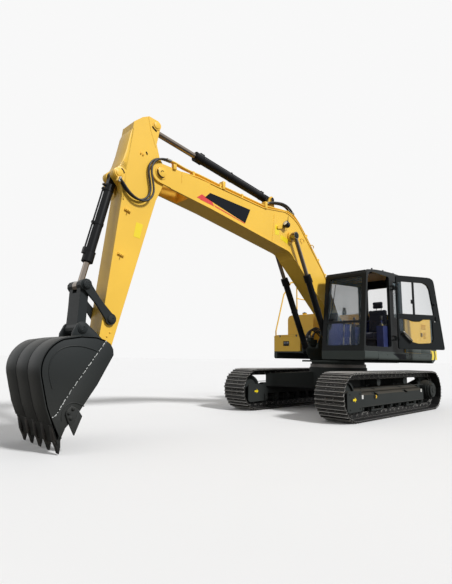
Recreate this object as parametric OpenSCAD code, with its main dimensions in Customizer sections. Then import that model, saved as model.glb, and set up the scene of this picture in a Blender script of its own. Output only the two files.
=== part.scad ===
// Crawler excavator of about 22 tonnes, with backhoe bucket. Millimetres.
// Origin on the ground under the slewing axis, +X forward, +Y to the left, +Z up.

/* [Undercarriage] */
// Distance between the idler axle and the sprocket axle
wheel_base = 3740; // [3400:10:4200]
// Distance between the middles of the two tracks
gauge = 2380; // [2200:10:2800]
// Width of a track shoe
shoe_w = 600; // [450:10:800]
// Height of a track from ground to the upper grouser tips
track_h = 900; // [840:10:1000]
// Number of shoes on each track
shoe_count = 49; // [45:1:53]
// Height of a grouser bar over its shoe plate
grouser_h = 26; // [15:1:34]
// Height of the chain links between shoe plate and rail surface
link_h = 105; // [90:1:120]
// Width of one link rail
rail_w = 42; // [30:1:50]
// Distance of each rail's middle from the track's middle
rail_gap = 82; // [70:1:95]
// Number of track rollers under each frame
roller_count = 8; // [6:1:9]
// Radius of a track roller's tread
roller_r = 82; // [70:1:95]
// Radius of a carrier roller
carrier_r = 62; // [50:1:75]
// Width of a track frame's box
frame_w = 330; // [290:10:360]
// Width from the frame's middle to its outer skirt
frame_out = 190; // [180:5:210]
// Free height under the carbody
ground_clear = 450; // [400:10:500]

/* [Slewing ring] */
// Outer radius of the slewing ring
ring_r = 640; // [560:10:700]
// Height of the carbody's top over the ground
ring_z = 950; // [920:10:990]

/* [Upper frame] */
// Height of the upper frame's lowest plate over the ground
deck_z = 1070; // [1060:5:1120]
// Height of the floor that carries cab, tanks and house
floor_z = 1310; // [1280:5:1360]
// Overall width of the upper frame
upper_w = 2730; // [2600:10:2900]
// Radius of the tail from the slewing axis
tail_r = 2900; // [2750:10:3000]
// Height of the side skirts
skirt_h = 175; // [120:5:200]
// Length from the slewing axis to the upper frame's front
deck_front = 700; // [600:10:800]

/* [House] */
// Height of the house and counterweight over the ground
house_z = 2200; // [2100:10:2300]
// Depth of the counterweight from its front face to the tail
weight_l = 740; // [640:10:800]
// Thickness of the sheet metal panels
panel_t = 30; // [20:1:40]
// Height of the engine hood over the house
hood_h = 130; // [90:5:180]
// Front end of the hydraulic tank
hyd_front = -560; // [-600:10:-500]
// Length of the hydraulic tank
hyd_l = 640; // [500:10:700]

/* [Tank and toolbox] */
// Width of the fuel tank and the toolbox
box_w = 790; // [700:10:800]
// Length of the fuel tank
fuel_l = 680; // [560:10:700]
// Height of the fuel tank's top over the ground
fuel_z = 2250; // [2150:10:2300]
// Height of the toolbox
toolbox_h = 400; // [300:10:450]

/* [Cab] */
// Distance of the cab's inner side from the machine's middle plane
cab_in = 385; // [380:1:420]
// Width of the cab without its door
cab_w = 960; // [900:5:990]
// Height of the cab over the floor
cab_h = 1760; // [1700:10:1820]
// Front end of the cab at the floor
cab_front = 1257; // [1200:1:1300]
// Drop of the cab's roof from its rear to its front edge
roof_drop = 100; // [40:5:130]
// Set-back of the cab's roof edge from its foot
cab_rake = 205; // [100:5:260]
// Length of the cab at the floor
cab_l = 1870; // [1750:10:1900]
// Thickness of the cab's walls and pillars
wall_t = 60; // [40:1:75]
// Thickness of the window panes
glass_t = 6; // [4:1:10]
// Thickness of the cab door
door_t = 38; // [30:1:45]
// Angle of the cab door as it stands open
door_angle = 152; // [0:1:175]
// Length of the cab door at its foot
door_l = 1240; // [1150:10:1260]

/* [Boom] */
// Height of the boom foot pin
foot_z = 1715; // [1680:5:1760]
// Place of the boom foot pin ahead of the slewing axis
foot_x = 150; // [100:5:200]
// Length from foot pin to arm pin
boom_len = 5702; // [5500:1:5800]
// Rise of the line from foot pin to arm pin
boom_angle = 23.35; // [20:0.05:27]
// Width of the boom's box
boom_w = 400; // [360:5:410]
// Thickness of the boom's flange plates
flange_t = 18; // [12:1:24]

/* [Arm] */
// Length from arm pin to bucket pin
arm_len = 2881; // [2700:1:3000]
// Angle from the boom's line down to the arm's line
arm_angle = 97.75; // [90:0.05:105]
// Width of the arm's box
arm_w = 330; // [300:5:340]

/* [Bucket] */
// Width of the bucket over its side plates
bucket_w = 1160; // [900:10:1300]
// Distance from bucket pin to tooth tips
tip_r = 1368; // [1300:1:1450]
// Angle from the arm's line back to the tooth tips
bucket_angle = 13.7; // [10:0.1:18]
// Thickness of the bucket's wrapper plate
wrap_t = 22; // [14:1:30]
// Thickness of the bucket's side plates
side_t = 28; // [20:1:35]
// Number of teeth
tooth_count = 5; // [4:1:6]

/* [Cylinders] */
// Outer radius of the boom cylinders
boom_cyl_r = 66; // [60:1:68]
// Outer radius of the arm cylinder
arm_cyl_r = 76; // [68:1:84]
// Outer radius of the bucket cylinder
bucket_cyl_r = 66; // [60:1:74]
// Bare rod of the boom cylinders, from gland to pin, as it stands
boom_rod_out = 877; // [800:1:950]
// Bare rod of the arm cylinder, from gland to pin, as it stands
arm_rod_out = 939; // [850:1:1000]
// Bare rod of the bucket cylinder, from gland to pin, as it stands
bucket_rod_out = 356; // [330:1:400]
// Travel left behind the boom cylinders' rods
boom_rod_room = 927; // [600:1:1000]
// Travel left behind the arm cylinder's rod
arm_rod_room = 998; // [600:1:1050]
// Travel left behind the bucket cylinder's rod
bucket_rod_room = 81; // [80:1:120]
// Distance of a boom cylinder's middle from the machine's middle plane
boom_cyl_y = 302; // [296:1:306]
// Radial play of a pin in its bore
pin_play = 0.1; // [0.05:0.05:0.5]
// Sideways play between plates that turn past each other
side_play = 5; // [2:0.5:8]
// radius of the lifting and tow eyes' bores
eye_bore = 35; // [25:1:45]
// outer radius of the eyes
lug_r = 75; // [60:1:90]
// thickness of the eyes
lug_t = 50; // [30:1:70]

/* [Hidden] */
big = 6000;
gap = 0.3;

// Colours
yellow = [0.93, 0.65, 0.13];
charcoal = [0.16, 0.17, 0.17];
black = [0.08, 0.08, 0.09];
chrome = [0.8, 0.8, 0.82];
glass = [0.6, 0.75, 0.8, 0.4];
blue_grey = [0.2, 0.25, 0.35];

// Points of an arc round c from angle a0 to angle a1
function arc(c, r, a0, a1, n = 8) = [for (i = [0:n]) let (a = a0 + (a1 - a0) * i / n)
    [c[0] + r * cos(a), c[1] + r * sin(a)]];
function unit(v) = v / norm(v);
function turn(p, a) = [p[0] * cos(a) - p[1] * sin(a), p[0] * sin(a) + p[1] * cos(a)];
function slope(v) = atan2(v[1], v[0]);
function flip(list) = [for (i = [len(list) - 1:-1:0]) list[i]];
// The outline moved sideways by d, for a plate that follows an edge
function normal_at(e, i) = let (a = e[max(i - 1, 0)], b = e[min(i + 1, len(e) - 1)], t = unit(b - a))
    [-t[1], t[0]];
function beside(e, d) = [for (i = [0:len(e) - 1]) e[i] + d * normal_at(e, i)];
function strip(e, d) = concat(e, flip(beside(e, d)));

// The outline with each corner rounded, r is one radius or one for each corner
function soft(e, r, n = 4) = [for (i = [0:len(e) - 1], t = [0:n])
    let (p = e[i], a = e[(i + len(e) - 1) % len(e)], b = e[(i + 1) % len(e)], q = is_list(r) ? r[i] : r,
        p0 = p + min(q, 0.45 * norm(a - p)) * unit(a - p), p2 = p + min(q, 0.45 * norm(b - p))
            * unit(b - p), u = t / n)
    (1 - u) * (1 - u) * p0 + 2 * u * (1 - u) * p + u * u * p2];
function rect(x0, x1, y0, y1) = [[x0, y0], [x1, y0], [x1, y1], [x0, y1]];

// Extrusions along Y of an outline in the XZ plane
module along_y(y0, y1) {
    translate([0, y1, 0]) rotate([90, 0, 0]) linear_extrude(y1 - y0) children();
}
module plate_y(points, y0, y1) {
    along_y(y0, y1) polygon(points);
}
// Extrusion along X of an outline in the YZ plane
module plate_x(points, x0, x1) {
    translate([x0, 0, 0]) rotate([90, 0, 90]) linear_extrude(x1 - x0) polygon(points);
}
module disc_y(p, r, y0, y1) {
    translate([p[0], y0, p[1]]) rotate([-90, 0, 0]) cylinder(r = r, h = y1 - y0, $fn = 64);
}
module box(x, y, z) {
    translate([x[0], y[0], z[0]]) cube([x[1] - x[0], y[1] - y[0], z[1] - z[0]]);
}
module both_sides() {
    children();
    mirror([0, 1, 0]) children();
}
// How far the ball at a bend stands out of its bar
knuckle = 1;
// A round bar between two points in space
module bar(p, q, r) {
    d = q - p;
    translate(p) rotate([0, acos(d[2] / norm(d)), atan2(d[1], d[0])])
        cylinder(r = r, h = norm(d), $fn = 24);
}
module bent_bar(points, r) {
    for (i = [0:len(points) - 2]) bar(points[i], points[i + 1], r);
    for (i = [1:1:len(points) - 2]) translate(points[i]) sphere(r = r + knuckle, $fn = 24);
}

// Track
wheel_z = track_h / 2;
shoe_t = 14;
pin_r = track_h / 2 - grouser_h - shoe_t - link_h / 2;
rail_in = pin_r - link_h / 2;
shoe_in = track_h / 2 - grouser_h - shoe_t - pin_r;
arc_len = PI * pin_r;
pitch = (2 * wheel_base + 2 * arc_len) / shoe_count;
function track_pt(s) = let (w = wheel_base / 2)
    s < wheel_base ? [s - w, wheel_z - pin_r]
    : s < wheel_base + arc_len ? let (a = (s - wheel_base) / pin_r * 180 / PI)
        [w + pin_r * sin(a), wheel_z - pin_r * cos(a)]
    : s < 2 * wheel_base + arc_len ? [w - (s - wheel_base - arc_len), wheel_z + pin_r]
    : let (a = (s - 2 * wheel_base - arc_len) / pin_r * 180 / PI)
        [-w - pin_r * sin(a), wheel_z + pin_r * cos(a)];
link_pins = [for (i = [0:shoe_count - 1]) track_pt(i * pitch)];
function pin_of(i) = link_pins[(i + shoe_count) % shoe_count];
function out_of(i) = let (d = unit(pin_of(i + 1) - pin_of(i))) [d[1], -d[0]];
// The loop's line at height h outside the pins
function loop_line(h) = [for (i = [0:shoe_count - 1]) let (n = unit(out_of(i - 1) + out_of(i)))
    pin_of(i) + h * n];
// A shoe's outline: share of the pitch, height over the pins
shoe_top = shoe_in + shoe_t;
shoe_tip = shoe_top + grouser_h;
shoe_line = [
    [0.00, shoe_in + 6], [0.08, shoe_tip], [0.20, shoe_top], [0.41, shoe_top],
    [0.50, shoe_tip], [0.59, shoe_top], [0.80, shoe_top], [0.92, shoe_tip]
];
shoe_loop = [for (i = [0:shoe_count - 1], q = shoe_line)
    pin_of(i) + q[0] * (pin_of(i + 1) - pin_of(i)) + q[1] * out_of(i)];
track_y = gauge / 2;

module tracks() color(black) both_sides() {
    along_y(track_y - shoe_w / 2, track_y + shoe_w / 2) difference() {
        polygon(shoe_loop);
        polygon(loop_line(shoe_in));
    }
    for (s = [-1, 1]) let (y = track_y + s * rail_gap)
        along_y(y - rail_w / 2, y + rail_w / 2) difference() {
            polygon(loop_line(shoe_in + 2));
            polygon(loop_line(-link_h / 2));
        }
}

// Sprocket and final drive
tooth_n = floor(2 * PI * pin_r / pitch * 2);
drive_r = 225;
cover_r = 167;
sprocket_r = pin_r + 18;
function gear(n, r0, r1) = [for (i = [0:n - 1], q = [[-0.26, r0], [-0.13, r1], [0.13, r1], [0.26, r0]])
    let (a = (i + q[0]) * 360 / n) q[1] * [cos(a), sin(a)]];
module sprockets() color(black) both_sides() translate([-wheel_base / 2, 0, wheel_z]) {
    along_y(track_y - 28, track_y + 28) polygon(gear(tooth_n, pin_r - 32, sprocket_r));
    disc_y([0, 0], drive_r, track_y - 60, track_y + 170);
    disc_y([0, 0], drive_r - 22, track_y + 170, track_y + 215);
    disc_y([0, 0], cover_r, track_y + 215, track_y + 262);
    disc_y([0, 0], cover_r * 0.4, track_y + 262, track_y + 272);
    disc_y([0, 0], drive_r + 30, track_y - 130, track_y - 60);
    disc_y([0, 0], drive_r - 55, track_y - 230, track_y - 130);
}

// Idlers
fork_t = 28;
// The links' flats bear on the idler
chain_line = loop_line(-link_h / 2);
function off_edge(c, a, b) = abs((b[0] - a[0]) * (a[1] - c[1]) - (a[0] - c[0]) * (b[1] - a[1]))
    / norm(b - a);
function to_chain(c) = min([for (i = [0:shoe_count - 1])
    off_edge(c, chain_line[i], chain_line[(i + 1) % shoe_count])]);
idler_r = to_chain([wheel_base / 2, wheel_z]) - gap;
module idlers() color(black) both_sides() translate([wheel_base / 2, 0, wheel_z]) difference() {
    union() {
        disc_y([0, 0], idler_r, track_y - rail_gap - 24, track_y + rail_gap + 24);
        disc_y([0, 0], idler_r + 22, track_y - rail_gap + rail_w / 2 + 4,
            track_y + rail_gap - rail_w / 2 - 4);
        disc_y([0, 0], 70, track_y - frame_w / 2 + fork_t + gap, track_y + frame_out - fork_t - gap);
    }
    for (s = [-1, 1]) translate([0, track_y + s * (rail_gap + 24), 0])
        rotate([90, 0, 0]) rotate_extrude($fn = 64)
            polygon([[90, -38], [idler_r - 70, -38], [idler_r - 35, 0], [idler_r - 35, 38], [90, 38]]);
}

// Rollers
roller_z = wheel_z - rail_in + roller_r + gap;
carrier_z = wheel_z + rail_in - carrier_r - gap;
roller_span = wheel_base - 940;
roller_x = [for (i = [0:roller_count - 1]) -roller_span / 2 + i * roller_span / (roller_count - 1)];
carrier_x = [-wheel_base / 6, wheel_base / 6];
module roller(p, r) {
    half = rail_gap + rail_w / 2;
    disc_y(p, r, track_y - half - 5, track_y + half + 5);
    for (s = [-1, 1]) let (y = track_y + s * (half + 10)) disc_y(p, r + 16, y - 7, y + 7);
}
module track_rollers() color(black) both_sides() {
    for (x = roller_x) {
        roller([x, roller_z], roller_r);
        disc_y([x, roller_z], 30, track_y - frame_w / 2 + 24, track_y + frame_w / 2 - 24);
    }
    for (x = carrier_x) roller([x, carrier_z], carrier_r);
}

// Track frames
frame_z0 = roller_z + roller_r + 25;
frame_z1 = carrier_z - carrier_r - 45;
frame_front = wheel_base / 2 - 370;
frame_back = -wheel_base / 2 + 420;
guard_h = 84;
fork_line = soft([[frame_front - 20, 180], [frame_front - 20, 545], [wheel_base / 2 + 90, 565],
    [wheel_base / 2 + 135, 520],
    [wheel_base / 2 + 135, 215], [wheel_base / 2 + 90, 170]], 30);
pocket_x = [-500, 895];
module track_frames() color(charcoal) both_sides() {
    y0 = track_y - frame_w / 2;
    y1 = track_y + frame_out;
    yb = track_y + frame_w / 2;
    // main box with its wide sloped top and the skirt over the rollers
    difference() {
        plate_x([[y0, frame_z0], [y1 - 25, frame_z0], [y1 - 25, frame_z0 - guard_h],
            [y1, frame_z0 - guard_h],
            [y1, frame_z1 - 120], [y0 + 85, frame_z1], [y0, frame_z1]], frame_back, frame_front);
        // pockets that serve as steps
        for (x = pocket_x) box([x - 75, x + 75], [y1 - 75, big], [frame_z1 - 146, frame_z1 - 66]);
    }
    // fork round the idler
    plate_y(fork_line, y0, y0 + fork_t);
    plate_y(fork_line, y1 - fork_t, y1 + 6);
    // rear plates that carry the final drive
    difference() {
        plate_y([[frame_back + 20, frame_z0], [frame_back + 20, frame_z1], [-wheel_base / 2, wheel_z + 220],
            [-wheel_base / 2 - 200, wheel_z + 60], [-wheel_base / 2 - 200, wheel_z - 60],
            [-wheel_base / 2, wheel_z - 220]], y0 - 30, y0 + 2);
        disc_y([-wheel_base / 2, wheel_z], drive_r - 55 + gap, y0 - 40, y0 + 10);
    }
    // roller brackets
    for (x = roller_x, s = [-1, 1]) let (y = track_y + s * (frame_w / 2 - 12))
        box([x - 55, x + 55], [y - 12, y + 12], [roller_z - 45, frame_z0]);
    for (x = carrier_x) box([x - 40, x + 40], [y0, y0 + 24], [frame_z1 - 20, carrier_z + 30]);
    for (x = carrier_x) disc_y([x, carrier_z], 28, y0 + 24, track_y - rail_gap - rail_w / 2 - 17);
    // guards that keep the chain on its rollers
    for (i = [1, roller_count - 3])
        box([roller_x[i] - 55, roller_x[i + 1] + 55], [yb - 24, yb], [roller_z - 75, roller_z - 44]);
}

// Plate with a round eye for a shackle, standing on a foot that reaches down by h
module lug(p, r, y0, y1, h) difference() {
    union() {
        disc_y(p, r, y0, y1);
        box([p[0] - r, p[0] + r], [y0, y1], [p[1] - h, p[1]]);
    }
    disc_y(p, eye_bore, y0 - 1, y1 + 1);
}

// Carbody with its four legs
leg_z = ring_z - 110;
tow_x = ring_r + 130;
tow_z = ground_clear + 180;
module carbody() color(charcoal) {
    difference() {
        union() {
            translate([0, 0, ground_clear + 60]) cylinder(r = ring_r + 20, h = ring_z - ground_clear - 60,
                $fn = 96);
            intersection() {
                for (a = [0:3]) rotate([0, 0, a < 2 ? (a * 2 - 1) * 42 : 180 + (a * 2 - 5) * 42])
                    translate([0, 0, ground_clear]) rotate([90, 0, 0]) translate([0, 0, -190])
                        linear_extrude(380)
                        polygon([[0, 0], [1900, 60], [1900, 330], [ring_r + 40, leg_z - ground_clear],
                            [0, leg_z - ground_clear]]);
                box([-big, big], [-track_y + frame_w / 2, track_y - frame_w / 2], [0, big]);
            }
        }
        translate([0, 0, ground_clear - 10]) cylinder(r = 190, h = big, $fn = 64);
    }
    // tow lugs under the front and rear
    for (s = [0, 1]) rotate([0, 0, s * 180]) difference() {
        union() {
            translate([tow_x, 0, tow_z]) cylinder(r = lug_r, h = lug_t, $fn = 64);
            box([ring_r - 20, tow_x], [-lug_r, lug_r], [tow_z, tow_z + lug_t]);
        }
        translate([tow_x, 0, tow_z - 1]) cylinder(r = eye_bore, h = lug_t + 2, $fn = 64);
    }
}
module slew_ring() color(charcoal) difference() {
    union() {
        translate([0, 0, ring_z]) cylinder(r = ring_r, h = 70, $fn = 96);
    }
    translate([0, 0, ring_z - 1]) cylinder(r = ring_r - 110, h = 80, $fn = 96);
}

// Upper frame
side_y = upper_w / 2;
weight_x = -tail_r + weight_l;
skirt_z = floor_z - skirt_h;
web_t = 45;
foot_half = 235;
web_y = foot_half + side_play;
cyl_foot = [830, 1330];
cyl_eye_w = 84;
// Profile of a side skirt from its inner side y to its top z
function skirt_line(y, z) = soft([[y, skirt_z], [side_y, skirt_z], [side_y, z], [y, z]], [1, 70, 14, 1]);
// Control valve block: from x, to x, height
valve_rows = [[250, 380, 290], [380, 520, 330], [520, 640, 250]];
valve_y = [-560, -400];
module deck() color(charcoal) {
    // floor plate
    difference() {
        box([weight_x, deck_front], [-side_y, side_y], [floor_z - 30, floor_z]);
        box([-260, big], [-web_y, web_y], [0, big]);
        door_pins(left_pin, 6 + pin_play);
        door_pins(right_pin, 6 + pin_play);
    }
    // skirts
    both_sides() plate_x(skirt_line(side_y - 90, floor_z - 30), weight_x, deck_front);
    plate_x(skirt_line(cab_in, floor_z), deck_front, cab_front);
    // control valve block beside the boom's foot
    for (q = valve_rows) box([q[0], q[1]], valve_y, [floor_z, floor_z + q[2]]);
    // middle frame
    box([weight_x, deck_front], [-520, 520], [deck_z, deck_z + 40]);
    both_sides() {
        plate_y([[weight_x, deck_z + 40], [deck_front + 60, deck_z + 40],
            [cyl_foot[0] + 70, cyl_foot[1] - 60],
            [cyl_foot[0] + 75, cyl_foot[1] + 30], [cyl_foot[0] + 20, cyl_foot[1] + 80],
            [foot_x + 380, cyl_foot[1] + 70], [foot_x + 130, foot_z + 60], [foot_x + 60, foot_z + 130],
            [foot_x - 60, foot_z + 130], [foot_x - 460, floor_z], [foot_x - 500, floor_z - 30],
            [weight_x, floor_z - 30]], web_y, web_y + 14);
        plate_y([[-300, deck_z + 40], [cyl_foot[0] + 70, cyl_foot[1] - 60],
            [cyl_foot[0] + 75, cyl_foot[1] + 30],
            [cyl_foot[0] + 20, cyl_foot[1] + 80], [foot_x + 380, floor_z - 30], [-300, floor_z - 30]],
            boom_cyl_y + cyl_eye_w / 2 + 1, boom_cyl_y + cyl_eye_w / 2 + 19);
        disc_y([foot_x, foot_z], 150, web_y, web_y + web_t);
    }
    // pins
    disc_y([foot_x, foot_z], 50, -web_y - web_t - 12, web_y + web_t + 12);
    both_sides() disc_y(cyl_foot, 42, web_y, boom_cyl_y + cyl_eye_w / 2 + 28);
    // turning half of the slewing ring
    translate([0, 0, ring_z + 70 + gap]) cylinder(r = ring_r - 30, h = deck_z - ring_z - 70 - gap,
        $fn = 96);
}

eye_x = -tail_r + 330;
eye_y = 620;
corner_r = 160;
corner_y = side_y - corner_r;
corner_x = -sqrt(pow(tail_r - corner_r, 2) - pow(corner_y, 2));
weight_z0 = deck_z + 10;
module counterweight() color(black) {
    both_sides() lug([eye_x, house_z + lug_r - 10], lug_r, eye_y - lug_t / 2, eye_y + lug_t / 2, 80);
    intersection() {
        rotate_extrude($fn = 180) polygon(concat([[0, weight_z0], [tail_r - 300, weight_z0]],
            arc([tail_r - 90, floor_z - 10], 90, -50, 0, 4),
                arc([tail_r - 90, house_z - 90], 90, 0, 90, 6), [[0, house_z]]));
        union() {
            box([-big, weight_x], [-corner_y, corner_y], [weight_z0, house_z]);
            box([corner_x, weight_x], [-side_y, side_y], [weight_z0, house_z]);
            both_sides() translate([corner_x, corner_y, weight_z0])
                cylinder(r = corner_r, h = house_z - weight_z0, $fn = 48);
        }
        box([-big, weight_x], [-side_y, side_y], [weight_z0, house_z]);
    }
}

// House behind cab and tanks
house_in = weight_x + 0;
house_y = side_y;
cab_back = cab_front - cab_l;
house_front = cab_back - 25;
pump_front = hyd_front - hyd_l;
door_z0 = floor_z + 20;
door_z1 = house_z - panel_t - 5;
module house() color(yellow) {
    house_body();
    // fixed panel behind the cab
    box([split_x, house_front - panel_t + 1], [house_y - panel_t, house_y],
        [floor_z, house_z - panel_t + 1]);
}
module house_body() difference() {
    union() {
        // left cabinet
        box([house_in, house_front], [cab_in, house_y], [floor_z, house_z]);
        // right cabinet and engine bay
        box([house_in, pump_front], [-house_y, cab_in], [floor_z, house_z]);
    }
    box([house_in + panel_t, house_front - panel_t], [cab_in + panel_t, big],
        [floor_z - 1, house_z - panel_t]);
    box([house_in + panel_t, pump_front - panel_t], [-big, -620 - panel_t],
        [floor_z - 1, house_z - panel_t]);
    box([house_in + panel_t, pump_front - panel_t], [-620, cab_in - panel_t], [floor_z - 1, big]);
    door_pins(left_pin, 6 + pin_play);
    door_pins(right_pin, 6 + pin_play);
}
module hood() color(yellow) translate([0, 0, house_z + gap]) difference() {
    box([house_in + 20, pump_front - 10], [-640, cab_in - 10], [0, hood_h]);
    box([house_in + 20 + panel_t, pump_front - 10 - panel_t], [-640 + panel_t, cab_in - 10 - panel_t],
        [-1, hood_h - panel_t]);
}
module engine() color(charcoal)
    box([house_in + 150, pump_front - 150], [-560, cab_in - 120], [floor_z, floor_z + 760]);
module radiator() color(black)
    box([house_in + 150, house_front - 200], [cab_in + 150, house_y - 260], [floor_z, house_z - 120]);
// Doors turn on upright pins, the left one at its rear edge and the right one at its front
split_x = weight_x + 660;
left_pin = [house_in + panel_t + 17, house_y - 9];
right_pin = [pump_front - panel_t - 17, -house_y + 9];
module door_pins(p, r) {
    translate([p[0], p[1], floor_z - 10]) cylinder(r = r, h = 40, $fn = 32);
    translate([p[0], p[1], door_z1 - 10]) cylinder(r = r, h = 30, $fn = 32);
}
left_latch = split_x - 70;
right_latch = house_in + 110;
// Row of n slots one over the other
module louvres(x0, x1, z, n) for (i = [0:n - 1]) box([x0, x1], [-big, big], [z + i * 32, z + i * 32 + 14]);
module left_door() color(yellow) {
    difference() {
        box([house_in + panel_t + 5, split_x - 5], [house_y - panel_t, house_y], [door_z0, door_z1]);
        louvres(split_x - 360, split_x - 60, floor_z + 590, 4);
        louvres(split_x - 340, split_x - 180, floor_z + 370, 5);
    }
    box([left_latch - 38, left_latch + 38], [house_y - 1, house_y + 12], [floor_z + 405, floor_z + 495]);
    door_pins(left_pin, 6);
}
module right_door() color(yellow) {
    difference() {
        box([house_in + panel_t + 5, pump_front - panel_t - 5], [-house_y, -house_y + panel_t],
            [door_z0, door_z1]);
        louvres(pump_front - 660, pump_front - 360, floor_z + 590, 4);
    }
    box([right_latch - 38, right_latch + 38], [-house_y - 12, -house_y + 1],
        [floor_z + 405, floor_z + 495]);
    door_pins(right_pin, 6);
}
module hydraulic_tank() color(yellow) {
    plate_x(soft(rect(-house_y, -house_y + box_w, floor_z, house_z), [1, 1, 30, 60]), pump_front,
        hyd_front);
    translate([pump_front + hyd_l / 2, -house_y + box_w / 2, house_z]) cylinder(r = 48, h = 55, $fn = 48);
}
muffler_y = -900;
module muffler() color(charcoal) translate([house_in + 250, muffler_y, house_z]) {
    cylinder(r = 60, h = 330, $fn = 48);
    translate([0, 0, 330]) cylinder(r = 42, h = 90, $fn = 48);
}

// Fuel tank and toolbox at the right front
fuel_x0 = hyd_front + 20;
fuel_x1 = fuel_x0 + fuel_l;
fuel_r = 120;
module fuel_tank() color(yellow) {
    translate([fuel_x0, 0, 0]) rotate([90, 0, 90]) linear_extrude(fuel_l) polygon(concat(
        [[-side_y, floor_z]], flip(arc([-side_y + fuel_r, fuel_z - fuel_r], fuel_r, 90, 180)),
        [[-side_y + box_w, fuel_z], [-side_y + box_w, floor_z]]));
    translate([fuel_x1 - 140, -side_y + box_w - 355, fuel_z]) cylinder(r = 55, h = 42, $fn = 48);
}
toolbox_x1 = deck_front;
module toolbox() color(yellow) difference() {
    box([fuel_x1 + 10, toolbox_x1], [-side_y, -side_y + box_w], [floor_z, floor_z + toolbox_h - 24]);
    box([fuel_x1 + 30, toolbox_x1 - 20], [-side_y + 20, -side_y + box_w - 20], [floor_z + 20, big]);
    // recess for the working lamp
    box([toolbox_x1 - 14, big], [-side_y + 283, -side_y + 466], [floor_z + 128, floor_z + 247]);
}
module toolbox_lid() color(yellow)
    box([fuel_x1 + 20, toolbox_x1], [-side_y + 75, -side_y + box_w],
        [floor_z + toolbox_h - 24 + gap, floor_z + toolbox_h]);

rail_y = -side_y + 30;
rail_z = 3150;
module handrails() color(yellow) {
    z0 = floor_z + toolbox_h - 24;
    top_y = -side_y + fuel_r;
    post_x = fuel_x1 - 240;
    rear_x = pump_front + 70;
    bent_bar([[toolbox_x1 - 30, rail_y, z0], [toolbox_x1 - 30, rail_y, z0 + 130],
        [toolbox_x1 - 355, rail_y, rail_z - 367],
        [post_x + 250, top_y, rail_z - 25], [post_x, top_y, rail_z], [post_x, top_y, fuel_z]], 17);
    bent_bar([[post_x, top_y, rail_z], [rear_x, top_y, rail_z], [rear_x, top_y, house_z]], 17);
    bar([post_x, top_y, rail_z - 425], [rear_x, top_y, rail_z - 425], 14);
}

// Cab
cab_z1 = floor_z + cab_h;
cab_side = cab_in + cab_w;
roof_x = cab_front - cab_rake;
cab_foot = [cab_front - 10, floor_z + 60];
door_hinge = [cab_front - 1302, cab_side + 60];
roof_front = [roof_x - 90, cab_z1 - roof_drop - 90];
cab_line = concat([[cab_back, floor_z], [cab_front, floor_z], cab_foot], arc(roof_front, 90, 10, 80, 4),
    [[cab_front - 557, cab_z1 - roof_drop / 2], [cab_front - 1057, cab_z1 - roof_drop * 0.16],
        [cab_front - 1557, cab_z1]],
    arc([cab_back + 140, cab_z1 - 130], 130, 90, 170));
cab_brow = roof_front + 90 * [cos(10), sin(10)];
// Front of the cab at height z
function front_x(z) = cab_foot[0] + (z - cab_foot[1]) * (cab_brow[0] - cab_foot[0])
    / (cab_brow[1] - cab_foot[1]);
shield = rect(cab_in + 95, cab_side - 95, floor_z + 110, cab_z1 - 220);
pane = rect(cab_in + 95 + gap, cab_side - 95 - gap, floor_z + 110 + gap, cab_z1 - 220 - gap);
side_window = soft([[cab_back + 250, floor_z + 640], [cab_front - 190, floor_z + 640],
    [roof_x - 150, cab_z1 - roof_drop - 170], [cab_back + 250, cab_z1 - 190]], 60);
rear_window = rect(cab_in + 130, cab_side - 130, floor_z + 760, cab_z1 - 240);
quarter = rect(cab_back + 150, door_hinge[0] - 110, floor_z + 760, cab_z1 - 190);
bar_z = floor_z + 571;
bar_h = 35;
hinge_h = 60;
hinge_pin = 12;
hinge_z = [floor_z + 300, cab_z1 - 350];
module cab_shell() color(charcoal) {
    cab_body();
    for (z = hinge_z) {
        for (z0 = [z - hinge_h / 2 - 22, z + hinge_h / 2 + gap])
            box([door_hinge[0] - 22, door_hinge[0] + 22], [cab_side - 1, door_hinge[1] + 20],
                [z0, z0 + 22 - gap]);
        translate([door_hinge[0], door_hinge[1], z - hinge_h / 2 - 20])
            cylinder(r = hinge_pin, h = hinge_h + 40, $fn = 48);
    }
    // bar across the windscreen
    plate_y([[front_x(bar_z) - 48, bar_z], [front_x(bar_z) - 8, bar_z],
        [front_x(bar_z + bar_h) - 8, bar_z + bar_h],
        [front_x(bar_z + bar_h) - 48, bar_z + bar_h]], cab_in + 90, cab_side - 90);
    // hatch and stubs on the roof
    plate_y([[cab_front - 1557, cab_z1 - 20], [cab_front - 1057, cab_z1 - roof_drop * 0.16 - 20],
        [cab_front - 1057, cab_z1 - roof_drop * 0.16 + 18], [cab_front - 1557, cab_z1 + 18]],
            cab_in + 250, cab_side - 250);
    for (q = roof_stubs) translate([q[0], cab_side - 45, q[1] - 30]) cylinder(r = 16, h = 55, $fn = 32);
}
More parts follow.
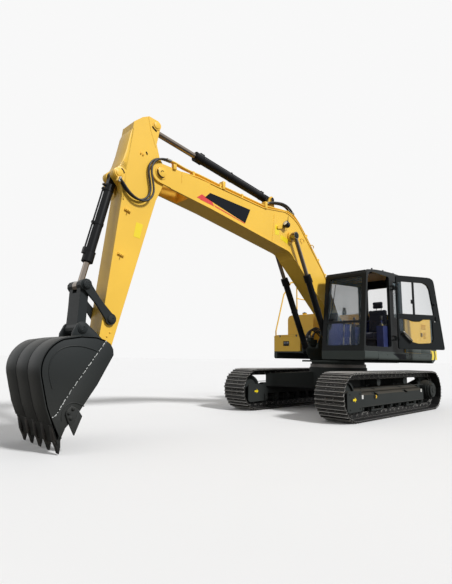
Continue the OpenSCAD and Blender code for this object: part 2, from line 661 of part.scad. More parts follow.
// Roof stubs: x, height of the roof there
roof_stubs = [[cab_front - 537, cab_z1 - roof_drop / 2], [cab_front - 1045, cab_z1 - roof_drop * 0.16],
    [cab_front - 1550, cab_z1]];
module cab_body() difference() {
    plate_y(cab_line, cab_in, cab_side);
    // hollow inside
    plate_y([[cab_back + wall_t, floor_z - 1], [cab_front - wall_t, floor_z - 1],
        [cab_foot[0] - wall_t, cab_foot[1]],
        [cab_brow[0] - wall_t, cab_brow[1] - 40], [roof_x - 160, cab_z1 - roof_drop - wall_t - 5],
        [cab_front - 567, cab_z1 - roof_drop / 2 - wall_t],
            [cab_front - 1067, cab_z1 - roof_drop * 0.16 - wall_t],
        [cab_back + 170, cab_z1 - wall_t], [cab_back + wall_t, cab_z1 - 160]], cab_in + wall_t,
            cab_side - wall_t);
    // windscreen, rear window, right window
    plate_x(soft(shield, 70), cab_front - 330, big);
    plate_x(soft(rear_window, 50), cab_back - 1, cab_back + wall_t + 40);
    plate_y(side_window, cab_in - 1, cab_in + wall_t + 1);
    // door opening and the quarter window behind it
    plate_y(door_line([75, 30, 10, 40], 60), cab_side - wall_t - 1, cab_side + 1);
    plate_y(soft(quarter, 40), cab_side - wall_t - 1, cab_side + 1);
}
door_z = floor_z + 70;
door_top = cab_z1 - 75;
door_lean = 0.1328;
// Outline of the closed door less margins m at its rear, foot, front and top
function door_line(m, r) = let (x = door_hinge[0], z0 = door_z + m[1], z1 = door_top - m[3])
    soft([[x + m[0], z0], [x + door_l - m[2] - door_lean * m[1], z0],
        [x + door_l - m[2] - door_lean * (z1 - door_z), z1],
        [x + m[0], z1]], [r, r, 3 * r, r]);
module as_open() translate([door_hinge[0], door_hinge[1], 0]) rotate([0, 0, door_angle])
    translate([-door_hinge[0], -door_hinge[1], 0]) children();
door_y0 = cab_side + 3;
// Panes of the door: place from the hinge, height from the door's foot
low_pane = [[66, 418], [66, 668], [340, 640], [430, 605], [600, 605], [690, 655], [940, 668], [945, 230],
    [900, 145],
    [540, 125], [350, 165]];
high_pane = [[66, 765], [66, 1486], [740, 1486], [850, 1440], [905, 1340], [1000, 765]];
function in_door(e) = soft([for (p = e) [door_hinge[0] + p[0], door_z + p[1]]], 30, 3);
grab = [[119, 349], [339, 153]];
module cab_door() color(charcoal) as_open() {
    difference() {
        plate_y(door_line([35, 0, 0, 0], 50), door_y0, door_y0 + door_t);
        for (e = [low_pane, high_pane]) plate_y(in_door(e), 0, big);
    }
    // frame between the two sliding panes, and the latch
    box([door_hinge[0] + 455, door_hinge[0] + 495], [door_y0 + 4, door_y0 + 30],
        [door_z + 764, door_z + 1487]);
    box([door_hinge[0] + 1020, door_hinge[0] + 1075], [door_y0 - 20, door_y0 + 1],
        [door_z + 650, door_z + 740]);
    // grab bar
    bent_bar([[door_hinge[0] + grab[0][0], door_y0 + 2, door_z + grab[0][1]],
        [door_hinge[0] + grab[0][0], door_y0 - 38, door_z + grab[0][1]],
        [door_hinge[0] + grab[1][0], door_y0 - 38, door_z + grab[1][1]],
        [door_hinge[0] + grab[1][0], door_y0 + 2, door_z + grab[1][1]]], 11);
    for (z = hinge_z) translate([door_hinge[0], door_hinge[1], z - hinge_h / 2]) difference() {
        union() {
            cylinder(r = 22, h = hinge_h, $fn = 48);
            translate([0, -35, 0]) cube([60, 50, hinge_h]);
        }
        translate([0, 0, -1]) cylinder(r = hinge_pin + pin_play, h = hinge_h + 2, $fn = 48);
    }
}
module door_glass() color(glass) as_open() {
    plate_y(in_door(low_pane), door_y0 + 16, door_y0 + 16 + glass_t);
    difference() {
        plate_y(in_door(high_pane), door_y0 + 16, door_y0 + 16 + glass_t);
        box([door_hinge[0] + 455, door_hinge[0] + 495], [door_y0, door_y0 + door_t],
            [door_z + 700, door_z + 1500]);
    }
}
module cab_glass() color(glass) {
    // windscreen in two panes
    difference() {
        intersection() {
            plate_x(soft(pane, 70), cab_front - 330, cab_front);
            plate_y([for (q = [[-24, 0], [-24 + glass_t, 0], [-24 + glass_t, 1], [-24, 1]])
                let (z = shield[0][1] + q[1] * (shield[2][1] - shield[0][1])) [front_x(z) + q[0], z]],
                    cab_in, cab_side);
        }
        box([0, big], [0, big], [bar_z, bar_z + bar_h]);
    }
    plate_x(soft(rear_window, 50), cab_back + 20, cab_back + 20 + glass_t);
    plate_y(side_window, cab_in + 20, cab_in + 20 + glass_t);
    plate_y(soft(quarter, 40), cab_side - 26, cab_side - 26 + glass_t);
}
module cab_floor() color(black)
    plate_y([[cab_back + wall_t, floor_z], [cab_front - wall_t - 4, floor_z],
        [cab_front - wall_t - 8, floor_z + 30], [cab_back + wall_t, floor_z + 30]],
        cab_in + wall_t, cab_side - wall_t);
seat_x = cab_back + 520;
seat_y = cab_in + cab_w / 2;
module seat() color(black) {
    box([seat_x - 200, seat_x + 200], [seat_y - 180, seat_y + 180], [floor_z + 30, floor_z + 300]);
    box([seat_x - 230, seat_x + 280], [seat_y - 240, seat_y + 240], [floor_z + 300, floor_z + 430]);
    box([seat_x - 330, seat_x - 200], [seat_y - 230, seat_y + 230], [floor_z + 400, floor_z + 1000]);
    box([seat_x - 330, seat_x - 240], [seat_y - 130, seat_y + 130], [floor_z + 1000, floor_z + 1180]);
}
lever_x = cab_front - 200;
module consoles() color(blue_grey) {
    for (s = [-1, 1]) {
        box([seat_x - 250, seat_x + 330], [seat_y + s * 325 - 75, seat_y + s * 325 + 75],
            [floor_z + 30, floor_z + 560]);
        translate([seat_x + 240, seat_y + s * 325, floor_z + 560]) {
            cylinder(r = 16, h = 130, $fn = 24);
            translate([0, 0, 130]) cylinder(r = 26, h = 80, $fn = 24);
        }
        // travel lever and its pedal
        bent_bar([[lever_x, seat_y + s * 75, floor_z + 30], [lever_x, seat_y + s * 75, floor_z + 330],
            [lever_x - 45, seat_y + s * 75, floor_z + 600]], 12);
        plate_y([[lever_x + 14, floor_z + 30], [lever_x + 90, floor_z + 30], [lever_x + 90, floor_z + 130],
            [lever_x + 75, floor_z + 130]], seat_y + s * 75 - 45, seat_y + s * 75 + 45);
    }
    // monitor on the right wall
    box([cab_front - 250, cab_front - 225], [cab_in + wall_t, cab_in + wall_t + 190],
        [floor_z + 640, floor_z + 800]);
}

// Boom, in its own plane: x along the line of pins, z over it
module at_boom() translate([foot_x, 0, foot_z]) rotate([0, -boom_angle, 0]) children();
knee = boom_len * 0.442;
boom_top = concat([[-40, 145], [knee - 1375, 985]], arc([knee + 60, 600], 885, 116, 68, 10),
    [[knee + 959, 1072], [boom_len - 1087, 640], [boom_len - 642, 480], [boom_len - 322, 310]]);
boom_under = concat([[40, -145], [knee - 1910, 200], [knee - 650, 560]],
    arc([knee - 100, 300], 400, 118, 74, 6),
    [[boom_len - 1095, 142], [boom_len - 260, -105]]);
fork_in = arm_w / 2 + side_play;
boom_pin = [knee + 2, 1035];
arm_cyl_foot = [knee + 734, 1482];
ear_t = boom_w / 2 - fork_in;
module boom() color(yellow) at_boom() {
    difference() {
        union() {
            plate_y(concat(boom_top, flip(boom_under)), -boom_w / 2 + 14, boom_w / 2 - 14);
            plate_y(strip(boom_top, -flange_t), -boom_w / 2, boom_w / 2);
            plate_y(strip(boom_under, flange_t), -boom_w / 2, boom_w / 2);
            disc_y([0, 0], 150, -foot_half, foot_half);
            // fork ears at the tip
            both_sides() plate_y(concat([[boom_len - 900, 545], [boom_len - 820, 60]],
                arc([boom_len, 0], 165, -112, 48, 12),
                [[boom_len - 322, 305]]), fork_in, fork_in + ear_t);
            both_sides() disc_y([boom_len, 0], 110, fork_in, fork_in + ear_t + 8);
            // boss for the boom cylinders' pin
            disc_y(boom_pin, 105, -boom_w / 2 - 20, boom_w / 2 + 20);
            disc_y(boom_pin, 50, -boom_cyl_y + 45 + gap, boom_cyl_y - 45 - gap);
            // ears for the arm cylinder
            both_sides() plate_y(concat([for (p = [[-260, -282], [190, -482], [190, -372],
                [95, -252]]) arm_cyl_foot + p],
                arc(arm_cyl_foot, 74, 10, 160), [for (p = [[-130, -112], [-260, -112]])
                    arm_cyl_foot + p]), 62, 62 + 32);
            // bracket for the lamp
            plate_y(soft([for (p = [[-60, -40], [150, -200], [180, -150], [50, 20]]) lamp_at + p], 20),
                boom_w / 2 - 20, boom_w / 2 + 14);
        }
        // space for the arm's end
        disc_y([boom_len, 0], 640, -fork_in, fork_in);
        box([boom_len, big], [-fork_in, fork_in], [-big, big]);
        disc_y([0, 0], 50 + pin_play, -big, big);
    }
    disc_y([boom_len, 0], 50, -fork_in - ear_t - 14, fork_in + ear_t + 14);
    disc_y(arm_cyl_foot, 42, -100, 100);
}
pipe_r = 16;
pipe_rise = 52;
pipe_line = beside([boom_top[8], boom_top[10], boom_top[13], boom_top[14], boom_top[15]], pipe_rise);
function between(p, q, share) = p + share * (q - p);
// Clips: the flange's segment and the place along it
clip_at = [[12, 0.85], [13, 0.5], [13, 0.97], [15, 0.3]];
module boom_pipes() color(yellow) at_boom() both_sides() {
    for (y = [130, 168]) bent_bar([for (p = pipe_line) [p[0], y, p[1]]], pipe_r);
    // clips
    for (q = clip_at) let (a = boom_top[q[0]], b = boom_top[q[0] + 1], p = between(a, b, q[1]))
        translate([p[0], 0, p[1]]) rotate([0, -slope(b - a), 0])
            box([-20, 20], [108, 190], [gap, pipe_rise + 22]);
}
lamp_at = [knee + 290, 1120];
module boom_lamp() color(black) at_boom() translate([0, boom_w / 2 + 14 + 62, 0]) {
    translate([lamp_at[0] - 30, 0, lamp_at[1]]) rotate([0, 90, 0]) cylinder(r = 62, h = 84, $fn = 64);
    translate([lamp_at[0] - 60, 0, lamp_at[1]]) rotate([0, 90, 0]) cylinder(r = 40, h = 30, $fn = 48);
}

// Arm, in its own plane: x from arm pin to bucket pin, z forward
module at_arm() at_boom() translate([boom_len, 0, 0]) rotate([0, arm_angle, 0]) children();
arm_cyl_pin = [-715, 303];
bucket_cyl_foot = [413, 622];
rocker_pin = [arm_len - 413, 53];
arm_line = concat(arc(arm_cyl_pin, 88, 235, 160, 6), [[-772, 470], [-676, 565], [-510, 668], [-420, 655],
    [arm_len - 295, 141]],
    arc([arm_len, 0], 98, 80, -100, 8), [[465, -75]], arc([0, 0], 140, -70, -150, 6),
        [[-240, 85], [-420, 205], [-620, 222]]);
clips = [[872, 262], [1540, 146]];
module arm() color(yellow) at_arm() {
    difference() {
        union() {
            plate_y(arm_line, -arm_w / 2, arm_w / 2);
            both_sides() plate_y(concat([[-60, 540], [900, 380], [680, 472], [560, 535]],
                arc(bucket_cyl_foot, 85, 20, 150), [[275, 600], [160, 572], [-60, 590]]), 52, 52 + 30);
            both_sides() disc_y(arm_cyl_pin, 76, arm_w / 2 - 1, arm_w / 2 + 10);
        }
        // slot for the arm cylinder's eye
        plate_y([[-big, -big], [-big, big], [-640, big], [-560, 420], [-520, 250], [-600, -big]], -58, 58);
        disc_y([0, 0], 50 + pin_play, -big, big);
    }
    both_sides() disc_y(arm_cyl_pin, 42, 50 + gap, arm_w / 2 + 16);
    disc_y(bucket_cyl_foot, 38, -96, 96);
    disc_y([arm_len, 0], 45, -arm_w / 2 - 78, arm_w / 2 + 78);
    both_sides() disc_y(rocker_pin, 40, arm_w / 2, arm_w / 2 + 55);
}
// Hose clips on the arm's sides
module arm_pipes() color(yellow) at_arm() both_sides()
    for (q = clips) box([q[0] - 16, q[0] + 16], [arm_w / 2, arm_w / 2 + 26], [q[1], q[1] + 104]);

// Bucket, in its own plane: x from bucket pin to tooth tips, z to its back
module at_bucket() at_arm() translate([arm_len, 0, 0]) rotate([0, -bucket_angle, 0]) children();
link_low = [-62, 425];
link_top = [-575, 696];
lip = [tip_r - 140, 96];
back_c = [500, 400];
back_r = 372;
shell_line = concat([[20, 120], [24, 330], [120, 520]], arc(back_c, back_r, 130, 45, 9),
    [[1010, 425], [lip[0] + 20, lip[1] + 30]]);
mouth_line = [lip, [lip[0] - 100, -20], [1026, -25], [526, 3], [112, 40]];
weld_line = [[1062, 294], [509, 253], [20, 210]];
rim_t = 12;
cutter = [[946, 219], [828, 203], [892, 15], [935, -13], [1126, -12], [1075, 85]];
ear_y = arm_w / 2 + side_play;
module bucket() color(charcoal) at_bucket() {
    half = bucket_w / 2;
    plate_y(strip(shell_line, -wrap_t), -half, half);
    both_sides() {
        plate_y(concat(shell_line, mouth_line), half - side_t, half);
        // thicker rim along the mouth, with the side cutter on it
        plate_y(concat([[20, 130]], flip(mouth_line), weld_line), half - 1, half + rim_t);
        plate_y(soft(cutter, 18), half + rim_t - 1, half + rim_t + 24);
    }
    // wear strips on the back
    for (y = [-half / 2, 0, half / 2]) plate_y(strip([for (i = [3:13]) shell_line[i]], 14), y - 30, y + 30);
    // lip plate
    plate_y([for (p = [[-180, 150], [-150, 195], [60, 0], [50, -18]]) lip + p], -half, half);
    // adapters and teeth
    for (i = [0:tooth_count - 1]) let (y = -half + 55 + i * (bucket_w - 110) / (tooth_count - 1)) {
        plate_y(soft([[lip[0] - 156, lip[1] + 191], [lip[0] - 60, lip[1] + 139], [lip[0] + 40, lip[1] + 50],
            [lip[0] + 30, lip[1] - 6], [lip[0] - 20, lip[1] - 22], [lip[0] - 90, lip[1] + 60]], 14),
                y - 44, y + 44);
        plate_y([[lip[0] - 14, lip[1] + 92], [lip[0] + 36, lip[1] + 62], [tip_r + 2, 14], [tip_r, 0],
            [lip[0] + 20, lip[1] - 30],
            [lip[0] - 30, lip[1] - 2]], y - 34, y + 34);
    }
    // hanger ears
    both_sides() difference() {
        plate_y(concat(arc([0, 0], 92, 150, 360), [[45, 120], [45, 330], [130, 515], [300, 690],
            [270, 724]],
            [[170, 700], [75, 640]], arc(link_low, 88, 75, 200)), ear_y, ear_y + 50);
        disc_y([0, 0], 45 + pin_play, 0, big);
    }
    both_sides() disc_y(link_low, 66, ear_y + 49, ear_y + 62);
    disc_y(link_low, 40, -ear_y - 70, ear_y + 70);
}

// Bucket linkage
function in_arm(p) = let (q = turn(p, bucket_angle)) [arm_len + q[0], q[1]];
top_pin = in_arm(link_top);
rocker_d = top_pin - rocker_pin;
// Outline of a link with a waist of half-width w between two round ends of radius r
function waisted(p, q, r, w) = let (a = slope(q - p), n = w * turn([1, 0], a + 90), m = (p + q) / 2)
    concat(arc(p, r, a + 50, a + 310), [m - n], arc(q, r, a - 130, a + 130), [m + n]);
module rocker() color(black) at_arm() both_sides() difference() {
    union() {
        plate_y(waisted(rocker_pin, top_pin, 80, 44), ear_y, ear_y + 38);
        disc_y(top_pin, 44, ear_y - 3 + gap, ear_y + 62);
        disc_y(top_pin, 64, ear_y + 37, ear_y + 50);
    }
    disc_y(rocker_pin, 40 + pin_play, 0, big);
}
module h_link() color(black) at_bucket() {
    difference() {
        plate_y(waisted(link_low, link_top, 78, 56), -ear_y + 3, ear_y - 3);
        disc_y(link_low, 40 + pin_play, -big, big);
        disc_y(link_top, 120, -62, 62);
    }
}

rod_share = 0.64;
gland_l = 150;
gland_t = 14;
band_t = 6;
line_r = 12;
bottom_t = 90;
// Cylinders, each from its foot pin to its rod pin, in the plane y = 0
function from_boom(p) = let (q = turn(p, boom_angle)) [foot_x + q[0], foot_z + q[1]];
arm_abs = boom_angle - arm_angle;
function from_arm(p) = from_boom([boom_len, 0]) + turn(p, arm_abs);
function from_bucket(p) = from_arm([arm_len, 0]) + turn(p, arm_abs + bucket_angle);
module along(p, q) translate([p[0], 0, p[1]]) rotate([0, -slope(q - p), 0]) children();
module tube_x(r, x0, x1) {
    translate([x0, 0, 0]) rotate([0, 90, 0]) cylinder(r = r, h = x1 - x0, $fn = 48);
}
// The barrel starts beyond its ears, behind a flat lug with the eye
line_gap = 5;
line_cap = 4;
line_bite = 10;
module barrel(r, l, eye_r, eye_w, pin, start) {
    line_z = r + band_t + line_gap + line_r;
    line_top = line_z + line_r + line_cap;
    difference() {
        union() {
            disc_y([0, 0], eye_r, -eye_w / 2, eye_w / 2);
            box([0, start + 20], [-eye_w / 2, eye_w / 2], [-eye_r * 0.8, eye_r * 0.8]);
            tube_x(r, start, l - gland_l + 20);
            tube_x(r + gland_t, l - gland_l, l);
            // bands that hold the oil line
            for (x = [start + 60, (start + l) / 2]) {
                tube_x(r + band_t, x, x + 40);
                box([x + 5, x + 35], [-line_r - 8, line_r + 8], [r - line_bite, line_top]);
            }
            translate([0, 0, line_z]) tube_x(line_r, start + 80, l - gland_l - 20);
            box([l - gland_l - 45, l - gland_l + 50], [-30, 30], [r - line_bite, line_top]);
        }
        disc_y([0, 0], pin + pin_play, -big, big);
        tube_x(r * rod_share + gap, start + bottom_t, l + 1);
    }
}
module rod(r, start, room, total, eye_r, eye_w) {
    disc_y([total, 0], eye_r, -eye_w / 2, eye_w / 2);
    tube_x(r * rod_share, start + bottom_t + room, total - eye_r * 0.7);
}
boom_start = 120;
arm_start = 170;
bucket_start = 175;
boom_q = from_boom(boom_pin);
boom_total = norm(boom_q - cyl_foot);
module boom_barrels() color(black)
    for (s = [-1, 1]) translate([0, s * boom_cyl_y, 0]) along(cyl_foot, boom_q)
    barrel(boom_cyl_r, boom_total - boom_rod_out, 72, cyl_eye_w, 42, boom_start);
module boom_rods() color(chrome) for (s = [-1, 1]) translate([0, s * boom_cyl_y, 0]) along(cyl_foot, boom_q)
    rod(boom_cyl_r, boom_start, boom_rod_room, boom_total, 78, 90);
arm_p = from_boom(arm_cyl_foot);
arm_q = from_arm(arm_cyl_pin);
arm_total = norm(arm_q - arm_p);
module arm_barrel() color(black)
    along(arm_p, arm_q) barrel(arm_cyl_r, arm_total - arm_rod_out, 70, 116, 42, arm_start);
module arm_rod() color(chrome)
    along(arm_p, arm_q) rod(arm_cyl_r, arm_start, arm_rod_room, arm_total, 88, 100);
bucket_p = from_arm(bucket_cyl_foot);
bucket_q = from_bucket(link_top);
bucket_total = norm(bucket_q - bucket_p);
module bucket_barrel() color(black) along(bucket_p, bucket_q)
    barrel(bucket_cyl_r, bucket_total - bucket_rod_out, 70, 98, 38, bucket_start);
module bucket_rod() color(chrome) along(bucket_p, bucket_q)
    rod(bucket_cyl_r, bucket_start, bucket_rod_room, bucket_total, 76, 2 * (62 - gap));

carbody();
slew_ring();
track_frames();
tracks();
sprockets();
idlers();
track_rollers();
deck();
counterweight();
house();
hood();
engine();
radiator();
left_door();
right_door();
hydraulic_tank();
fuel_tank();
toolbox();
toolbox_lid();
handrails();
muffler();
cab_shell();
cab_glass();
cab_floor();
seat();
consoles();
cab_door();
door_glass();
boom();
boom_pipes();
boom_lamp();
arm();
arm_pipes();
bucket();
rocker();
h_link();
boom_barrels();
boom_rods();
arm_barrel();
arm_rod();
bucket_barrel();
bucket_rod();
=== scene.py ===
"""Crawler excavator: finishes, trim, soft parts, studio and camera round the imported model."""
import logging
import math
from dataclasses import dataclass, field
from enum import Enum
from typing import Dict, List, Sequence, Tuple, Union

import bmesh
import bpy
from mathutils import Matrix, Vector


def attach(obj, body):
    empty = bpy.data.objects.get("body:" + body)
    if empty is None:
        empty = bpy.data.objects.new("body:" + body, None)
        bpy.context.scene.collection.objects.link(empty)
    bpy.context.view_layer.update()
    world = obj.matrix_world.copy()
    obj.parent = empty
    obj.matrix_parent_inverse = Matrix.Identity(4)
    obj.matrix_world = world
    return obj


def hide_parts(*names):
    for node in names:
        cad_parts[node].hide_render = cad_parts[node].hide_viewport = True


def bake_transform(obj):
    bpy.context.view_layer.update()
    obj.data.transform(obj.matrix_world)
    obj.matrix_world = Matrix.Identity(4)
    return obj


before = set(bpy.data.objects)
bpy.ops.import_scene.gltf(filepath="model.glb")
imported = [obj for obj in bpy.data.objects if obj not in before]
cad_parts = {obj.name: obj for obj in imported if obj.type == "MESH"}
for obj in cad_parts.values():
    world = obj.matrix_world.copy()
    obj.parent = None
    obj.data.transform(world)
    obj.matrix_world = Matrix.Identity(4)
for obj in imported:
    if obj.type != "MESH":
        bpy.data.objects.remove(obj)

Flat = Tuple[float, float]
Spot = Tuple[float, float, float]
Colour = Spot
Point = Union[Vector, Sequence[float]]
Vert = bmesh.types.BMVert
log = logging.getLogger("excavator")
LEFT, RIGHT = 1, -1
SIDES = (LEFT, RIGHT)
X, Y, Z = range(3)
SIXTH, QUARTER, THIRD = 1.047, 1.571, 2.094
WAVE_LENGTH = 6.283
EDGE_SAMPLES = 4
SHARP = 0.5


def tone(red: int, green: int, blue: int) -> Colour:
    """Turns a screen colour of 0 to 255 into the linear colour that a shader takes."""
    return tuple(((c / 255 + 0.055) / 1.055) ** 2.4 if c > 10 else c / 3294.6 for c in (red, green, blue))


def shaded(colour: Colour, share: float, lift: float = 0.0) -> Colour:
    """Gives a colour made darker or paler by a share and a lift."""
    return tuple(c * share + lift for c in colour)


def circle(middle: Sequence[float], radius: float, turns: Sequence[float]) -> List[Flat]:
    """Gives the points of a flat circle at the given turns, in radians."""
    return [(middle[0] + radius * math.cos(turn), middle[1] + radius * math.sin(turn)) for turn in turns]


def equal_turns(count: int, start: float = 0.0) -> List[float]:
    """Gives the turns of a number of equal steps round a circle, from a first step on."""
    return [math.tau * (number + start) / count for number in range(count)]


def added(name: str, data: bpy.types.ID) -> bpy.types.Object:
    """Puts a new object with that data into the scene.

    Args:
        name: its name.
        data: its mesh, curve, lamp or camera.

    Returns:
        The object.
    """
    made = bpy.data.objects.new(name, data)
    bpy.context.scene.collection.objects.link(made)
    return made


class Wire:
    """A socket that can be used in Python expressions, each of which adds a Math node."""

    def __init__(self, shader: "Shader", socket: bpy.types.NodeSocket) -> None:
        """Keeps the shader that the socket belongs to."""
        self.shader = shader
        self.socket = socket

    def _math(self, operation: str, first: object, second: object) -> "Wire":
        """Adds one Math node on two numbers or wires."""
        return self.shader.node("ShaderNodeMath", {"operation": operation}, {0: first, 1: second})

    def __add__(self, other: object) -> "Wire":
        """Adds."""
        return self._math("ADD", self, other)

    def __sub__(self, other: object) -> "Wire":
        """Subtracts."""
        return self._math("SUBTRACT", self, other)

    def __rsub__(self, other: object) -> "Wire":
        """Subtracts from a number."""
        return self._math("SUBTRACT", other, self)

    def __mul__(self, other: object) -> "Wire":
        """Multiplies."""
        return self._math("MULTIPLY", self, other)

    __radd__ = __add__
    __rmul__ = __mul__

    def above(self, low: float, high: float) -> "Wire":
        """Gives 0 at or under low and 1 at or over high, with a smooth step between."""
        settings = {"interpolation_type": "SMOOTHSTEP"}
        return self.shader.node("ShaderNodeMapRange", settings, {0: self, 1: low, 2: high})

    def clamp(self) -> "Wire":
        """Holds the value between 0 and 1."""
        return self.shader.node("ShaderNodeClamp", {}, {0: self})


class Shader:
    """One material in the making: a Principled surface and the nodes that feed it."""

    def __init__(self, name: str) -> None:
        """Starts an empty material.

        Args:
            name: the material's name.
        """
        self.material = bpy.data.materials.new(name)
        self.material.use_nodes = True
        self.tree = self.material.node_tree
        self.tree.nodes.clear()
        output = self.tree.nodes.new("ShaderNodeOutputMaterial")
        self.surface = self.tree.nodes.new("ShaderNodeBsdfPrincipled")
        self.tree.links.new(self.surface.outputs[0], output.inputs[0])

    def node(self, kind: str, settings: dict, inputs: dict, out: Union[int, str] = 0) -> Wire:
        """Adds a node of any kind.

        Args:
            kind: the node's type.
            settings: its own settings, set before its sockets.
            inputs: socket number or name, with a value or a wire for each.
            out: the output that is wanted.

        Returns:
            That output.
        """
        made = self.tree.nodes.new(kind)
        for key, value in settings.items():
            setattr(made, key, value)
        for key, value in inputs.items():
            self.feed(made.inputs[key], value)
        return Wire(self, made.outputs[out])

    def feed(self, socket: bpy.types.NodeSocket, value: object) -> None:
        """Puts a value or a wire into a socket.

        Args:
            socket: the socket.
            value: a number, colour, vector or wire.
        """
        if isinstance(value, Wire):
            self.tree.links.new(value.socket, socket)
        elif isinstance(value, tuple) and len(value) == 3 and socket.type == "RGBA":
            socket.default_value = (*value, 1.0)
        else:
            socket.default_value = value

    def set(self, **inputs: object) -> None:
        """Sets the surface's sockets, with a space for each underscore in a name."""
        for key, value in inputs.items():
            self.feed(self.surface.inputs[key.replace("_", " ")], value)

    def place(self) -> Wire:
        """Gives the object coordinates, in metres."""
        return self.node("ShaderNodeTexCoord", {}, {}, "Object")

    def part(self, vector: Wire, axis: int) -> Wire:
        """Gives one coordinate of a vector."""
        return self.node("ShaderNodeSeparateXYZ", {}, {0: vector}, axis)

    def noise(self, vector: Wire, scale: float, detail: float = 3.0, rough: float = 0.55) -> Wire:
        """Gives cloudy noise round 0.5, with scale lumps to a metre."""
        return self.node("ShaderNodeTexNoise", {},
            {"Vector": vector, "Scale": scale, "Detail": detail, "Roughness": rough})

    def wave(self, vector: Wire, way: str, count: float, distortion: float = 0.0) -> Wire:
        """Gives parallel waves along an axis, with count of them to a metre."""
        return self.node("ShaderNodeTexWave", {"bands_direction": way},
            {"Vector": vector, "Scale": count / WAVE_LENGTH, "Distortion": distortion})

    def cells(self, vector: Wire, count: float, randomness: float = 1.0) -> Wire:
        """Gives how far a point is from the middle of its cell, with count cells to a metre."""
        return self.node("ShaderNodeTexVoronoi", {},
            {"Vector": vector, "Scale": count, "Randomness": randomness}, "Distance")

    def stretched(self, vector: Wire, scale: Sequence[float]) -> Wire:
        """Gives the vector with each axis scaled by its own share."""
        return self.node("ShaderNodeMapping", {}, {"Vector": vector, "Scale": tuple(scale)})

    def blend(self, share: object, first: object, second: object) -> Wire:
        """Mixes two colours."""
        return self.node("ShaderNodeMix", {"data_type": "RGBA"}, {0: share, 6: first, 7: second}, 2)

    def rounded(self, radius: float) -> Wire:
        """Gives the normal with edges rounded to that radius, in metres."""
        return self.node("ShaderNodeBevel", {"samples": EDGE_SAMPLES}, {"Radius": radius})

    def edges(self, soft: Wire) -> Wire:
        """Gives how near a point is to an edge, from a rounded normal."""
        true = self.node("ShaderNodeNewGeometry", {}, {}, "Normal")
        return 1 - self.node("ShaderNodeVectorMath", {"operation": "DOT_PRODUCT"}, {0: soft, 1: true}, "Value")

    def upward(self) -> Wire:
        """Gives how far a surface faces the sky, from -1 to 1."""
        return self.part(self.node("ShaderNodeNewGeometry", {}, {}, "Normal"), 2)

    def bump(self, height: Wire, depth: float, normal: Union[Wire, None] = None) -> Wire:
        """Bends a normal by a height.

        Args:
            height: the height, from 0 to 1.
            depth: what a height of 1 stands for, in metres.
            normal: the normal that is bent, where it isn't the surface's own.

        Returns:
            The bent normal.
        """
        inputs = {"Strength": 1.0, "Distance": depth, "Height": height}
        if normal is not None:
            inputs["Normal"] = normal
        return self.node("ShaderNodeBump", {}, inputs)


@dataclass(frozen=True)
class Finish:
    """A finish that knows how to make its material."""

    name: str

    def material(self) -> bpy.types.Material:
        """Returns the finish's material, made once."""
        found = bpy.data.materials.get("finish_" + self.name)
        return found or self.make(Shader("finish_" + self.name)).material

    def make(self, shader: Shader) -> Shader:
        """Fills the shader in; each kind of finish has its own way."""
        raise NotImplementedError


@dataclass(frozen=True)
class Paint(Finish):
    """Sprayed paint with orange peel, settled dust and a little wear along the edges."""

    colour: Colour = (0.5, 0.5, 0.5)
    gloss: float = 0.38
    dust: float = 0.2
    dust_colour: Colour = tone(150, 138, 120)
    wear: float = 0.25
    bare: Colour = tone(92, 88, 84)
    edge: float = 0.004
    peel: float = 0.00006
    coat: float = 0.25
    specular: float = 0.5
    splash: float = 0.6

    def make(self, shader: Shader) -> Shader:
        """Builds the paint.

        Args:
            shader: the empty shader.

        Returns:
            The shader, filled in.
        """
        place = shader.place()
        soft = shader.rounded(self.edge)
        cloud = shader.noise(place, 1.3, 4)
        speck = shader.noise(place, 38, 4, 0.7)
        tint = shader.blend(cloud.above(0.3, 0.7), shaded(self.colour, 0.93), self.colour)
        low = 1 - shader.part(place, 2).above(0.1, 1.6)
        lying = (shader.upward().above(0.35, 0.95) + low * self.splash).clamp()
        dusty = (lying * (cloud * 0.6 + speck * 0.6) * self.dust).clamp()
        worn = (shader.edges(soft).above(0.03, 0.16) * speck.above(0.52, 0.66) * self.wear).clamp()
        colour = shader.blend(worn, shader.blend(dusty, tint, self.dust_colour), self.bare)
        shader.set(Base_Color=colour, Roughness=(self.gloss + dusty * 0.5 + speck * 0.08).clamp(),
            Coat_Weight=self.coat, Coat_Roughness=0.12, IOR=1.48, Specular_IOR_Level=self.specular,
            Normal=shader.bump(shader.noise(place, 420, 2), self.peel, soft))
        return shader


@dataclass(frozen=True)
class Steel(Finish):
    """Bare, cast or chromed steel, with brushed streaks or a cast grain."""

    colour: Colour = (0.5, 0.5, 0.5)
    shine: float = 0.3
    metallic: float = 1.0
    grain: float = 0.0002
    grain_scale: float = 120
    soil: float = 0.0
    soil_colour: Colour = tone(104, 92, 78)
    polish: float = 0.0
    polish_colour: Colour = tone(168, 164, 158)
    edge: float = 0.003

    def make(self, shader: Shader) -> Shader:
        """Builds the steel.

        Args:
            shader: the empty shader.

        Returns:
            The shader, filled in.
        """
        place = shader.place()
        soft = shader.rounded(self.edge)
        cloud = shader.noise(place, 5, 4, 0.6)
        fine = shader.noise(place, self.grain_scale, 3, 0.65)
        soiled = (cloud.above(0.4, 0.7) * fine.above(0.3, 0.6) * self.soil).clamp()
        rubbed = (shader.edges(soft).above(0.02, 0.12) * fine.above(0.35, 0.6) * self.polish).clamp()
        tint = shader.blend(cloud, shaded(self.colour, 0.85), self.colour)
        colour = shader.blend(rubbed, shader.blend(soiled, tint, self.soil_colour), self.polish_colour)
        shader.set(Base_Color=colour, Metallic=(self.metallic - soiled * self.metallic).clamp(),
            Roughness=(self.shine + soiled * 0.4 + fine * 0.1 - rubbed * 0.2).clamp(),
            Normal=shader.bump(fine, self.grain, soft))
        return shader


